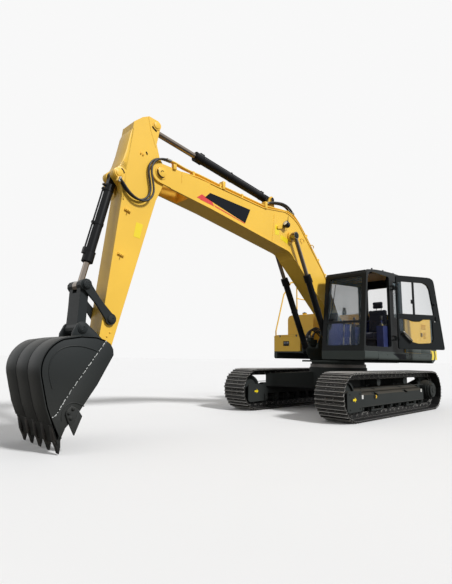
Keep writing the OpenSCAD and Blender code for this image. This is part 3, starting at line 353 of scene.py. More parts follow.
@dataclass(frozen=True)
class Rubber(Finish):
    """Rubber or moulded plastic with a fine grain."""

    colour: Colour = (0.02, 0.02, 0.02)
    dull: float = 0.55
    grain: float = 0.00015
    scale: float = 500
    ribs: float = 0.0
    rib_depth: float = 0.0

    def make(self, shader: Shader) -> Shader:
        """Builds the rubber, with ribs across the machine where ribs is a number to the metre.

        Args:
            shader: the empty shader.

        Returns:
            The shader, filled in.
        """
        place = shader.place()
        cloud = shader.noise(place, 9, 3)
        grain = shader.noise(place, self.scale, 2)
        normal = shader.bump(grain, self.grain, shader.rounded(0.003))
        if self.ribs:
            normal = shader.bump(shader.wave(place, "Y", self.ribs), self.rib_depth, normal)
        colour = shader.blend(cloud.above(0.35, 0.75), self.colour, shaded(self.colour, 1.35, 0.004))
        shader.set(Base_Color=colour, Roughness=(self.dull + cloud * 0.2 - 0.1).clamp(), Normal=normal)
        return shader


@dataclass(frozen=True)
class Tread(Finish):
    """Gritty walkway sheet with rows of small raised studs."""

    colour: Colour = (0.02, 0.02, 0.02)
    studs: float = 36

    def make(self, shader: Shader) -> Shader:
        """Builds the tread.

        Args:
            shader: the empty shader.

        Returns:
            The shader, filled in.
        """
        place = shader.place()
        cloud = shader.noise(place, 3, 3)
        grit = shader.noise(place, 320, 2, 0.7)
        stud = 1 - shader.cells(place, self.studs, 0.0).above(0.18, 0.34)
        colour = shader.blend((cloud * 0.5 + stud * 0.3).clamp(), self.colour, tone(74, 70, 64))
        shader.set(Base_Color=colour, Roughness=(grit * 0.2 + 0.7).clamp(),
            Normal=shader.bump(grit, 0.0006, shader.bump(stud, 0.0025)))
        return shader


@dataclass(frozen=True)
class Glass(Finish):
    """Window or lamp glass, faintly smeared, that shows more of the sky at a slant."""

    colour: Colour = tone(120, 142, 152)
    clear: float = 0.93

    def make(self, shader: Shader) -> Shader:
        """Builds the glass.

        Args:
            shader: the empty shader.

        Returns:
            The shader, filled in.
        """
        place = shader.place()
        smear = shader.noise(shader.stretched(place, (1, 1, 0.3)), 6, 4)
        slant = shader.node("ShaderNodeFresnel", {}, {"IOR": 1.45})
        alpha = (1 - self.clear + slant * 0.5 + smear * 0.03).clamp()
        shader.set(Base_Color=shader.blend(smear, self.colour, shaded(self.colour, 0.8)), Alpha=alpha,
            Roughness=(smear * 0.06).clamp(), IOR=1.45)
        return shader


@dataclass(frozen=True)
class Cloth(Finish):
    """Woven seat cloth."""

    colour: Colour = tone(42, 43, 48)
    threads: float = 260

    def make(self, shader: Shader) -> Shader:
        """Builds the weave from two waves at right angles.

        Args:
            shader: the empty shader.

        Returns:
            The shader, filled in.
        """
        place = shader.place()
        warp = shader.wave(place, "Y", self.threads, 0.6)
        weave = warp * 0.5 + shader.wave(place, "X", self.threads, 0.6) * 0.5
        fuzz = shader.noise(place, 60, 3)
        shader.set(Base_Color=shader.blend(weave * fuzz, self.colour, shaded(self.colour, 1.9)),
            Roughness=(fuzz * 0.2 + 0.75).clamp(), Sheen_Weight=0.25, Normal=shader.bump(weave, 0.0006))
        return shader


@dataclass(frozen=True)
class Screen(Finish):
    """A dark display or lamp lens with fine square cells."""

    colour: Colour = tone(30, 36, 44)
    cells: float = 0.0
    dull: float = 0.12

    def make(self, shader: Shader) -> Shader:
        """Builds the screen.

        Args:
            shader: the empty shader.

        Returns:
            The shader, filled in.
        """
        place = shader.place()
        cloud = shader.noise(place, 14, 2)
        shader.set(Base_Color=shader.blend(cloud, self.colour, shaded(self.colour, 1.4)),
            Roughness=(self.dull + cloud * 0.05).clamp(), Coat_Weight=0.6, Coat_Roughness=0.03)
        if self.cells:
            shader.set(Normal=shader.bump(shader.cells(place, self.cells), 0.002))
        return shader


class Coat(Enum):
    """The finishes of this machine."""

    YELLOW = Paint("yellow", tone(250, 202, 76), gloss=0.36, dust=0.08, wear=0.1, coat=0.12, specular=0.3)
    CHARCOAL = Paint("charcoal", tone(36, 39, 40), gloss=0.36, dust=0.08, wear=0.2, coat=0.0, specular=0.1)
    SKIRT = Paint("skirt", tone(72, 79, 77), gloss=0.44, dust=0.14, wear=0.2, coat=0.0, specular=0.1)
    BLACK = Paint("black", tone(25, 26, 28), gloss=0.32, dust=0.08, wear=0.2, coat=0.0, specular=0.14)
    FRAME = Paint("frame", tone(50, 54, 54), gloss=0.5, dust=0.4, wear=0.45, dust_colour=tone(120, 108, 92),
        coat=0.0, specular=0.08, splash=0.12)
    BUCKET = Paint("bucket", tone(42, 46, 47), gloss=0.4, dust=0.12, wear=0.45, edge=0.006,
        bare=tone(112, 108, 102), coat=0.0, specular=0.16)
    TOOTH = Steel("tooth", tone(36, 36, 36), shine=0.45, metallic=0.4, soil=0.3, polish=0.5)
    TRACK = Steel("track", tone(42, 42, 42), shine=0.42, metallic=0.6, soil=0.3, polish=1.0, grain=0.0005,
        soil_colour=tone(60, 58, 54), polish_colour=tone(196, 194, 188), edge=0.012)
    WORN = Steel("worn", tone(196, 194, 190), shine=0.4, metallic=0.3, soil=0.35, soil_colour=tone(84, 80, 76))
    RING = Steel("ring", tone(96, 94, 92), shine=0.35, soil=0.3, polish=0.3)
    # Rod chrome with a brown-grey metal colour, which is a painted reflection of the brownish ground round the
    # machine.
    CHROME = Steel("chrome", tone(146, 136, 126), shine=0.06, grain=0.00001, grain_scale=600)
    ZINC = Steel("zinc", tone(150, 148, 142), shine=0.32, soil=0.15)
    EXHAUST = Steel("exhaust", tone(64, 56, 52), shine=0.6, metallic=0.7, soil=0.3,
        soil_colour=tone(92, 60, 42))
    ENGINE = Paint("engine", tone(92, 94, 96), gloss=0.5, dust=0.3, wear=0.3)
    CORE = Rubber("core", tone(32, 33, 34), dull=0.6, ribs=180, rib_depth=0.002)
    GLASS = Glass("glass")
    LENS = Screen("lens", tone(214, 220, 222), cells=90)
    SCREEN = Screen("screen")
    MAT = Rubber("floor_mat", tone(88, 62, 44), dull=0.8, ribs=60, rib_depth=0.004)
    CLOTH = Cloth("seat_cloth", tone(34, 38, 52))
    TRIM = Rubber("trim", tone(20, 32, 80), dull=0.6)
    DARK_TRIM = Rubber("dark_trim", tone(40, 42, 46), dull=0.6)
    RUBBER = Rubber("rubber", tone(26, 26, 27))
    RED = Paint("red", tone(226, 62, 58), gloss=0.3, dust=0.05, wear=0.0)
    SIGN = Paint("sign_yellow", tone(250, 222, 30), gloss=0.32, dust=0.06, wear=0.0)
    DECAL = Paint("decal_black", tone(35, 38, 43), gloss=0.3, dust=0.05, wear=0.0, coat=0.0, specular=0.02)
    WELD = Steel("weld", tone(206, 208, 206), shine=0.5, metallic=0.2, soil=0.7, soil_colour=tone(70, 72, 72))
    TREAD = Tread("tread", tone(40, 41, 42))
    HEADLINER = Cloth("roof_cloth", tone(120, 92, 66), threads=320)
    BELT = Cloth("belt", tone(30, 31, 34), threads=420)
    # Near-black rubber for black bits, and for the painted shade and shadow in grooves, slots and round pin
    # caps.
    DARK = Rubber("soot", tone(12, 12, 12), dull=0.9)
    WHITE = Paint("white", tone(228, 228, 224), gloss=0.35, dust=0.1, wear=0.1)

    def material(self) -> bpy.types.Material:
        """Returns this finish's material."""
        return self.value.material()


def rounded(outline: Sequence[Flat], radius: float, steps: int = 4) -> List[Flat]:
    """Rounds the corners of a flat outline.

    Args:
        outline: its corners in order.
        radius: how far before and after a corner the rounding runs.
        steps: short edges round each corner.

    Returns:
        The rounded outline.
    """
    made = []
    for number, corner in enumerate(outline):
        here, before, after = Vector(corner), Vector(outline[number
            - 1]), Vector(outline[(number + 1) % len(outline)])
        first = here + (before - here).normalized() * min(radius, 0.45 * (before - here).length)
        last = here + (after - here).normalized() * min(radius, 0.45 * (after - here).length)
        for step in range(steps + 1):
            share = step / steps
            made.append(tuple(first * (1 - share) ** 2 + here * 2 * share * (1 - share) + last * share ** 2))
    return made


class Form:
    """A mesh in the making, in metres, shaped with bmesh operators in one or more finishes."""

    def __init__(self, coat: Coat) -> None:
        """Starts empty, with one finish.

        Args:
            coat: that finish.
        """
        self.mesh = bmesh.new()
        self.coats: List[Coat] = [coat]
        self.slot = 0

    def use(self, coat: Coat) -> "Form":
        """Takes another finish for the shapes that follow.

        Args:
            coat: that finish.

        Returns:
            The form itself.
        """
        if coat not in self.coats:
            self.coats.append(coat)
        self.slot = self.coats.index(coat)
        return self

    def _keep(self, verts: Sequence[Vert]) -> List[Vert]:
        """Gives the faces of new vertices the finish in use.

        Args:
            verts: the new vertices.

        Returns:
            The vertices.
        """
        for face in {f for v in verts for f in v.link_faces}:
            face.material_index = self.slot
        return list(verts)

    def _soften(self, verts: Sequence[Vert], width: float, segments: int) -> None:
        """Bevels the sharp edges between vertices.

        Args:
            verts: the vertices.
            width: how wide the bevel is.
            segments: faces across it.
        """
        if width <= 0:
            return
        chosen = {e for v in verts for e in v.link_edges if e.calc_face_angle(0) > SHARP}
        made = bmesh.ops.bevel(self.mesh, geom=list(chosen), offset=width, offset_type="OFFSET",
            affect="EDGES", segments=segments, profile=0.5, material=-1, clamp_overlap=True)
        for face in made["faces"]:
            face.material_index = self.slot

    def block(self, low: Point, high: Point, soft: float = 0.0, segments: int = 2,
            turn: Union[Matrix, None] = None) -> "Form":
        """Adds a block between two corners.

        Args:
            low: its lowest corner.
            high: its highest corner.
            soft: the radius of its edges.
            segments: faces round each edge.
            turn: a turn about the block's own middle.

        Returns:
            The form itself.
        """
        low, high = Vector(low), Vector(high)
        made = bmesh.ops.create_cube(self.mesh, size=1.0)["verts"]
        bmesh.ops.scale(self.mesh, vec=high - low, verts=made)
        bmesh.ops.transform(self.mesh, matrix=Matrix.Translation((low + high) / 2) @ (turn or Matrix()),
            verts=made)
        self._soften(self._keep(made), soft, segments)
        return self

    def drum(self, start: Point, end: Point, radius: float, far: Union[float, None] = None, sides: int = 24,
            soft: float = 0.0) -> "Form":
        """Adds a round bar or cone between two points.

        Args:
            start: the middle of its first end.
            end: the middle of its far end.
            radius: its radius at the start.
            far: its radius at the far end, where it differs.
            sides: faces round it.
            soft: the radius of its rims.

        Returns:
            The form itself.
        """
        start, end = Vector(start), Vector(end)
        made = bmesh.ops.create_cone(self.mesh, cap_ends=True, cap_tris=False, segments=sides, radius1=radius,
            radius2=radius if far is None else far, depth=(end - start).length)["verts"]
        turn = (end - start).to_track_quat("Z", "Y").to_matrix().to_4x4()
        bmesh.ops.transform(self.mesh, matrix=Matrix.Translation((start + end) / 2) @ turn, verts=made)
        self._soften(self._keep(made), soft, 2)
        return self

    def bar(self, axis: int, place: Sequence[float], span: Sequence[float], radius: float, *rest: float,
            **more: float) -> "Form":
        """Adds a drum along an axis, at its two other coordinates and over a span of it."""
        start, end = ([*place[:axis], at, *place[axis:]] for at in span)
        return self.drum(start, end, radius, *rest, **more)

    def bolt(self, foot: Point, axis: Point, size: float = 0.012) -> "Form":
        """Adds a hexagon bolt head on a washer.

        Args:
            foot: where it stands on a face.
            axis: the way out of that face.
            size: the head's radius.

        Returns:
            The form itself.
        """
        foot, axis = Vector(foot), Vector(axis).normalized()
        self.drum(foot - axis * 0.002, foot + axis * size * 0.25, size * 1.25, sides=12)
        return self.drum(foot + axis * size * 0.2, foot + axis * size * 0.9, size, size * 0.94, sides=6)

    def cap(self, place: Flat, face: float, thick: float, radius: float, turns: Sequence[float] = (),
            share: float = 0.6, size: float = 0.009, **more: float) -> "Form":
        """Adds the round end of a pin across the machine, with its bolts.

        Args:
            place: its x and z.
            face: the y of the face that it stands on.
            thick: how far it stands off that face.
            radius: its radius.
            turns: where its bolts stand, in radians.
            share: the bolts' circle as a share of the radius.
            size: the bolts' size.
            more: the sides and soft rim of the drum.

        Returns:
            The form itself.
        """
        self.bar(Y, place, (face - 0.002, face + thick), radius, **more)
        for x, z in circle(place, radius * share, turns):
            self.bolt((x, face + thick, z), (0, 1, 0), size)
        return self

    def ball(self, middle: Point, radius: float, shape: Sequence[float] = (1, 1, 1)) -> "Form":
        """Adds a ball, or an egg where shape scales its axes.

        Args:
            middle: its middle.
            radius: its radius.
            shape: the scale of each axis.

        Returns:
            The form itself.
        """
        matrix = Matrix.Translation(Vector(middle)) @ Matrix.Diagonal((*shape, 1))
        self._keep(bmesh.ops.create_uvsphere(self.mesh, u_segments=20, v_segments=12, radius=radius,
            matrix=matrix)["verts"])
        return self

    def _push(self, faces: Sequence[bmesh.types.BMFace], corners: Sequence[Vert], depth: Point) -> List[Vert]:
        """Pushes flat faces out to a solid.

        Args:
            faces: the faces.
            corners: their vertices.
            depth: the way and distance that they are pushed.

        Returns:
            The solid's vertices.
        """
        made = bmesh.ops.extrude_face_region(self.mesh, geom=faces)["geom"]
        moved = [g for g in made if isinstance(g, Vert)]
        bmesh.ops.translate(self.mesh, vec=Vector(depth), verts=moved)
        whole = self._keep([*corners, *moved])
        bmesh.ops.recalc_face_normals(self.mesh, faces=list({f for v in whole for f in v.link_faces}))
        return whole

    def plate(self, outline: Sequence[Point], depth: Point, soft: float = 0.0) -> "Form":
        """Adds a flat plate: an outline that is pushed out by a depth.

        Args:
            outline: its corners in order, in one plane.
            depth: the way and distance that it is pushed.
            soft: the radius of its edges.

        Returns:
            The form itself.
        """
        corners = [self.mesh.verts.new(Vector(p)) for p in outline]
        self._soften(self._push([self.mesh.faces.new(corners)], corners, depth), soft, 2)
        return self

    def profile(self, outline: Sequence[Flat], y: float, depth: float, soft: float = 0.0) -> "Form":
        """Adds an upright plate across the machine, from an outline of x and z at y and a depth along Y."""
        return self.plate([(x, y, z) for x, z in outline], (0, depth, 0), soft)

    def ring(self, outline: Sequence[Point], width: float, depth: Point) -> "Form":
        """Adds a flat frame along the inside of an outline, pushed out by a depth.

        Args:
            outline: its outer corners in order, in one plane.
            width: how far it reaches inwards.
            depth: the way and distance that it is pushed.

        Returns:
            The form itself.
        """
        face = self.mesh.faces.new([self.mesh.verts.new(Vector(p)) for p in outline])
        rim = bmesh.ops.inset_region(self.mesh, faces=[face], thickness=width, use_boundary=True,
            use_even_offset=True)["faces"]
        bmesh.ops.delete(self.mesh, geom=[face], context="FACES_ONLY")
        self._push(rim, list({v for f in rim for v in f.verts}), depth)
        return self

    def hose(self, route: Sequence[Point], radius: float, sides: int = 10) -> "Form":
        """Adds a smooth round hose along a route.

        Args:
            route: the points that lead its curve.
            radius: its radius.
            sides: faces round it.

        Returns:
            The form itself.
        """
        curve = bpy.data.curves.new("route", "CURVE")
        curve.dimensions = "3D"
        curve.bevel_depth = radius
        curve.bevel_resolution = max(0, sides // 4)
        curve.use_fill_caps = True
        curve.resolution_u = 8
        spline = curve.splines.new("NURBS")
        spline.points.add(len(route) - 1)
        for knot, point in zip(spline.points, route):
            knot.co = (*point, 1.0)
        spline.order_u = min(4, len(route))
        spline.use_endpoint_u = True
        return self._borrow(curve)

    def _borrow(self, curve: bpy.types.Curve) -> "Form":
        """Turns a curve into faces of this form.

        Args:
            curve: the curve, which is used up.

        Returns:
            The form itself.
        """
        holder = added("route", curve)
        flat = bpy.data.meshes.new_from_object(holder.evaluated_get(bpy.context.evaluated_depsgraph_get()))
        known = len(self.mesh.verts)
        self.mesh.from_mesh(flat)
        self.mesh.verts.ensure_lookup_table()
        fresh = self._keep(self.mesh.verts[known:])
        bmesh.ops.remove_doubles(self.mesh, verts=fresh, dist=1e-6)
        bpy.data.objects.remove(holder)
        bpy.data.meshes.remove(flat)
        bpy.data.curves.remove(curve)
        return self

    def mirrored(self) -> "Form":
        """Adds the same shapes on the other side of the machine.

        Returns:
            The form itself.
        """
        made = bmesh.ops.duplicate(self.mesh, geom=self.mesh.verts[:] + self.mesh.edges[:] + self.mesh.faces[:])
        verts = [g for g in made["geom"] if isinstance(g, Vert)]
        faces = [g for g in made["geom"] if isinstance(g, bmesh.types.BMFace)]
        bmesh.ops.scale(self.mesh, vec=(1, -1, 1), verts=verts)
        bmesh.ops.reverse_faces(self.mesh, faces=faces)
        return self

    def turned(self, matrix: Matrix) -> "Form":
        """Moves all shapes made so far by a matrix."""
        bmesh.ops.transform(self.mesh, matrix=matrix, verts=self.mesh.verts[:])
        return self

    def piece(self, name: str, body: str, slot: str, crease: float = 35.0) -> bpy.types.Object:
        """Makes the finished piece and lets it ride on a body.

        Args:
            name: the piece's name.
            body: the CAD body that it moves with, or nothing, which leaves it on no body, for a piece that runs
                between two.
            slot: a material slot of the record; not used.
            crease: edges over this angle, in degrees, stay sharp.

        Returns:
            The piece.
        """
        for edge in self.mesh.edges:
            edge.smooth = edge.calc_face_angle(0) < math.radians(crease)
        for face in self.mesh.faces:
            face.smooth = True
        data = bpy.data.meshes.new(name)
        self.mesh.to_mesh(data)
        self.mesh.free()
        for coat in self.coats:
            data.materials.append(coat.material())
        made = added(name, data)
        if body:
            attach(made, body)
        log.info("%s: %d faces on %s", name, len(data.polygons), body or "two bodies")
        return made


@dataclass(frozen=True)
class Plane:
    """An upright plane that a moving member is drawn in: x along it, y across the machine, z over it."""

    x: float
    z: float
    angle: float

    def matrix(self) -> Matrix:
        """Gives the matrix from the plane to the machine."""
        return Matrix.Translation((self.x, 0, self.z)) @ Matrix.Rotation(-math.radians(self.angle), 4, "Y")

    def beyond(self, length: float, turn: float) -> "Plane":
        """Gives the plane of the next member, hinged at a length along this one and turned by an angle."""
        joint = self.matrix() @ Vector((length, 0, 0))
        return Plane(joint.x, joint.z, self.angle + turn)

    def point(self, x: float, y: float, z: float) -> Vector:
        """Gives a point of the plane in the machine's frame."""
        return self.matrix() @ Vector((x, y, z))


BOOM_LENGTH, ARM_LENGTH = 5.702, 2.881
BOOM = Plane(0.15, 1.715, 23.35)
ARM = BOOM.beyond(BOOM_LENGTH, -97.75)
BUCKET = ARM.beyond(ARM_LENGTH, 13.7)


@dataclass
class Trackwork:
    """Bolts, link plates, worn edges, signs, covers and hoses of the two tracks."""

    wheel_base: float = 3.74
    middle: float = 1.19
    height: float = 0.9
    shoes: int = 49
    shoe_face: float = 0.0665
    grouser_tip: float = 0.0925
    pin_radius: float = 0.3575
    rail_gap: float = 0.082
    rail_width: float = 0.042
    outer_face: float = 1.38
    roller_z: float = 0.22752
    roller_x: Tuple[float, ...] = tuple(-1.4 + number * 0.4 for number in range(8))
    roller_face: float = 0.165
    arrow: Tuple[Flat, ...] = ((1.672, 0.399), (1.732, 0.445), (1.732, 0.418), (1.8, 0.418), (1.8, 0.38),
        (1.732, 0.38), (1.732, 0.353))
    square: Flat = (0.032, 0.036)
    grouser: Tuple[Flat, ...] = ((-0.0062, -0.008), (-0.0022, 0.0006), (0.0022, 0.0006), (0.0062, -0.008))
    shoe_width: float = 0.602
    hose_shifts: Tuple[Flat, ...] = ((0.0, 0.0), (0.05, 0.035), (0.1, 0.0))

    def pin(self, number: int) -> Vector:
        """Gives the place of a track pin in the XZ plane.

        Args:
            number: the pin, counted from the sprocket along the ground.

        Returns:
            Its place.
        """
        arc = math.pi * self.pin_radius
        way = (number % self.shoes) * (2 * self.wheel_base + 2 * arc) / self.shoes
        half = self.wheel_base / 2
        for start, end, lead in ((0, self.wheel_base, -1),
                (self.wheel_base + arc, 2 * self.wheel_base + arc, 1)):
            if start <= way <= end:
                return Vector((lead * (half - (way - start)), 0, self.height / 2 + lead * self.pin_radius))
        front = way < self.wheel_base + arc
        turn = (way - self.wheel_base if front else way - 2 * self.wheel_base - arc) / self.pin_radius
        side = 1 if front else -1
        return Vector((side * (half + self.pin_radius * math.sin(turn)), 0,
            self.height / 2 - side * self.pin_radius * math.cos(turn)))

    def step(self, number: int) -> Matrix:
        """Gives the frame of one link: x along it, y across the machine, z outwards from the loop.

        Args:
            number: the link's first pin.

        Returns:
            The matrix from that frame to the machine.
        """
        start, end = self.pin(number), self.pin(number + 1)
        along = (end - start).normalized()
        out = Vector((along.z, 0, -along.x))
        across = out.cross(along)
        turn = Matrix((along, across, out)).transposed().to_4x4()
        return Matrix.Translation((start + end) / 2) @ turn

    def shoe_bolts(self) -> None:
        """Makes the four bolts of every shoe."""
        form = Form(Coat.TRACK)
        for number in range(self.shoes):
            here = self.step(number)
            out = here.to_3x3() @ Vector((0, 0, 1))
            for side in SIDES:
                for across in (self.middle - self.rail_gap, self.middle + self.rail_gap):
                    for along in (-0.037, 0.037):
                        foot = here @ Vector((along, 0, self.shoe_face)) + Vector((0, side * across, 0))
                        form.drum(foot - out * 0.002, foot + out * 0.013, 0.0125, 0.0115, sides=6)
        form.piece("shoe_bolts", "undercarriage", "track_steel")

    def grouser_edges(self) -> None:
        """Makes the worn bright edge of every grouser."""
        form = Form(Coat.WORN)
        for number in range(self.shoes):
            here = self.step(number)
            pitch = (self.pin(number + 1) - self.pin(number)).length
            for share in (-0.42, 0.0, 0.42):
                for side in SIDES:
                    shift = Vector((0, side * self.middle - self.shoe_width / 2, 0))
                    edge = [Vector((share * pitch + x, 0, self.grouser_tip + z)) for x, z in self.grouser]
                    form.plate([here @ point + shift for point in edge], (0, self.shoe_width, 0))
        form.piece("grouser_edges", "undercarriage", "track_steel")

    def links(self) -> None:
        """Makes the plates and pin ends of the chains, on both sides of every rail."""
        form = Form(Coat.TRACK)
        outline = ((-0.1, -0.03), (-0.072, -0.047), (-0.03, -0.043), (0.03, -0.043), (0.072, -0.047),
            (0.1, -0.03), (0.094, 0.01), (0.06, 0.046), (0.026, 0.046), (0.0, 0.022), (-0.026, 0.046),
            (-0.06, 0.046), (-0.094, 0.01))
        for number in range(self.shoes):
            here = self.step(number)
            pin = self.pin(number)
            for side in SIDES:
                for rail in SIDES:
                    for face in SIDES:
                        y = side * self.middle + rail * self.rail_gap + face * self.rail_width / 2
                        shift = Vector((0, y, 0))
                        form.plate([here @ Vector((x * 0.82, 0, z)) + shift for x, z in outline],
                            (0, face * 0.004, 0))
                        form.drum(pin + shift, pin + shift + Vector((0, face * 0.009, 0)), 0.029, 0.027,
                            sides=10)
        form.piece("track_links", "undercarriage", "track_steel")

    def signs(self) -> None:
        """Makes the arrows, blank squares, covers and dots on the track frames."""
        face, inner = self.outer_face, self.middle - self.roller_face
        form = Form(Coat.SIGN).profile(self.arrow, face + 0.006 - 0.001, 0.0025)
        form.mirrored().piece("track_arrows", "undercarriage", "frame_black")
        form = Form(Coat.WHITE)
        for x, z in ((1.435, 0.437), (-1.333, 0.455)):
            wide, high = self.square
            square = ((x - wide, z - high), (x + wide, z - high), (x + wide, z + high), (x - wide, z + high))
            form.profile(square, face - 0.001, 0.0025)
        form.mirrored().piece("track_squares", "undercarriage", "frame_black")
        form = Form(Coat.SIGN).profile(self.arrow, inner + 0.001, -0.0025)
        form.mirrored().piece("inner_arrows", "undercarriage", "frame_black")
        form = Form(Coat.BLACK)
        for x, z, radius in ((0.955, 0.425, 0.04), (1.862, 0.399, 0.02)):
            form.bar(Y, (x, z), (face - 0.004, face + 0.008), radius, sides=28, soft=0.002)
            for spot in circle((x, z), radius * 0.75, [number * QUARTER + 0.8 for number in range(4)]):
                form.bar(Y, spot, (face + 0.006, face + 0.011), 0.006, sides=6)
        form.mirrored().piece("tension_covers", "undercarriage", "frame_black")
        form = Form(Coat.SIGN).bar(Y, (0.898, 0.42), (face - 0.001, face + 0.002), 0.033, sides=28)
        form.use(Coat.RED).bar(Y, (0.898, 0.42), (face, face + 0.003), 0.013, sides=20)
        form.mirrored().piece("track_dots", "undercarriage", "frame_black")

    def frame_trim(self) -> None:
        """Makes the welds, lips and bolts of the track frames."""
        form = Form(Coat.FRAME)
        y = self.outer_face
        form.hose([(1.5, y + 0.002, 0.24), (1.5, y + 0.002, 0.4), (1.5, y + 0.002, 0.56)], 0.006, 8)
        form.block((-1.43, y - 0.01, 0.246), (1.48, y + 0.009, 0.262), 0.004)
        form.block((-1.45, y - 0.03, 0.585), (1.495, y + 0.004, 0.597), 0.003)
        for x in (-0.5, 0.895):
            form.block((x - 0.09, y - 0.012, 0.508), (x + 0.09, y + 0.01, 0.52), 0.004)
        for x in (1.545, 1.905):
            for z in (0.235, 0.505):
                form.bolt((x, y + 0.006, z), (0, 1, 0), 0.014)
        for x in self.roller_x:
            for away in SIDES:
                for shift in (-0.04, 0.04):
                    form.bolt((x + shift, self.middle + away * self.roller_face, self.roller_z - 0.018),
                        (0, away, 0), 0.009)
        form.mirrored().piece("frame_trim", "undercarriage", "frame_black")

    def wheel_bolts(self) -> None:
        """Makes the bolts of the final drives, sprockets, idlers and rollers."""
        form = Form(Coat.FRAME)
        hub = (-self.wheel_base / 2, self.height / 2)
        for radius, out, count, size in ((0.214, 0.17, 20, 0.009), (0.185, 0.215, 12, 0.01),
                (0.24, 0.028, 18, 0.013), (0.13, 0.262, 3, 0.014), (0.052, 0.272, 6, 0.006)):
            for x, z in circle(hub, radius, equal_turns(count, 0.5)):
                form.bolt((x, self.middle + out, z), (0, 1, 0), size)
        for x in self.roller_x:
            for away in SIDES:
                face = self.middle + away * self.roller_face
                form.bar(Y, (x, self.roller_z), (face, face + away * 0.014), 0.036, 0.03, sides=20)
        form.mirrored().piece("wheel_bolts", "undercarriage", "frame_black")

    def ring_bolts(self) -> None:
        """Makes the bolts of the slewing ring."""
        form = Form(Coat.RING)
        for x, y in circle((0, 0), 0.625, equal_turns(44)):
            form.bolt((x, y, 1.02), (0, 0, 1), 0.011)
        form.piece("ring_bolts", "undercarriage", "ring_steel")

    def drive_hoses(self) -> None:
        """Makes the hoses from the swivel to the two travel motors, with their fittings."""
        form = Form(Coat.RUBBER)
        for lift, spread in self.hose_shifts:
            form.hose([(-0.64, 0.12 + spread, 0.7 + lift), (-0.76, 0.15 + spread, 0.7 + lift),
                (-0.98, 0.3 + spread, 0.64 + lift), (-1.3, 0.56 + spread, 0.56 + lift),
                (-1.6, 0.78, 0.47 + lift), (-1.78, 0.88, 0.44 + lift * 0.8),
                (-1.85, 0.945, 0.43 + lift * 0.7)], 0.015, 12)
        form.use(Coat.ZINC)
        for lift, spread in self.hose_shifts:
            form.drum((-0.65, 0.12 + spread, 0.7 + lift), (-0.705, 0.132 + spread, 0.7 + lift), 0.021, sides=6)
            form.drum((-1.845, 0.94, 0.43 + lift * 0.7), (-1.86, 0.975, 0.43 + lift * 0.7), 0.021, sides=6)
        form.mirrored().piece("drive_hoses", "undercarriage", "frame_black")

    def build(self) -> None:
        """Builds the undercarriage's trim in order."""
        self.shoe_bolts()
        self.grouser_edges()
        self.links()
        self.signs()
        self.frame_trim()
        self.wheel_bolts()
        self.ring_bolts()
        self.drive_hoses()


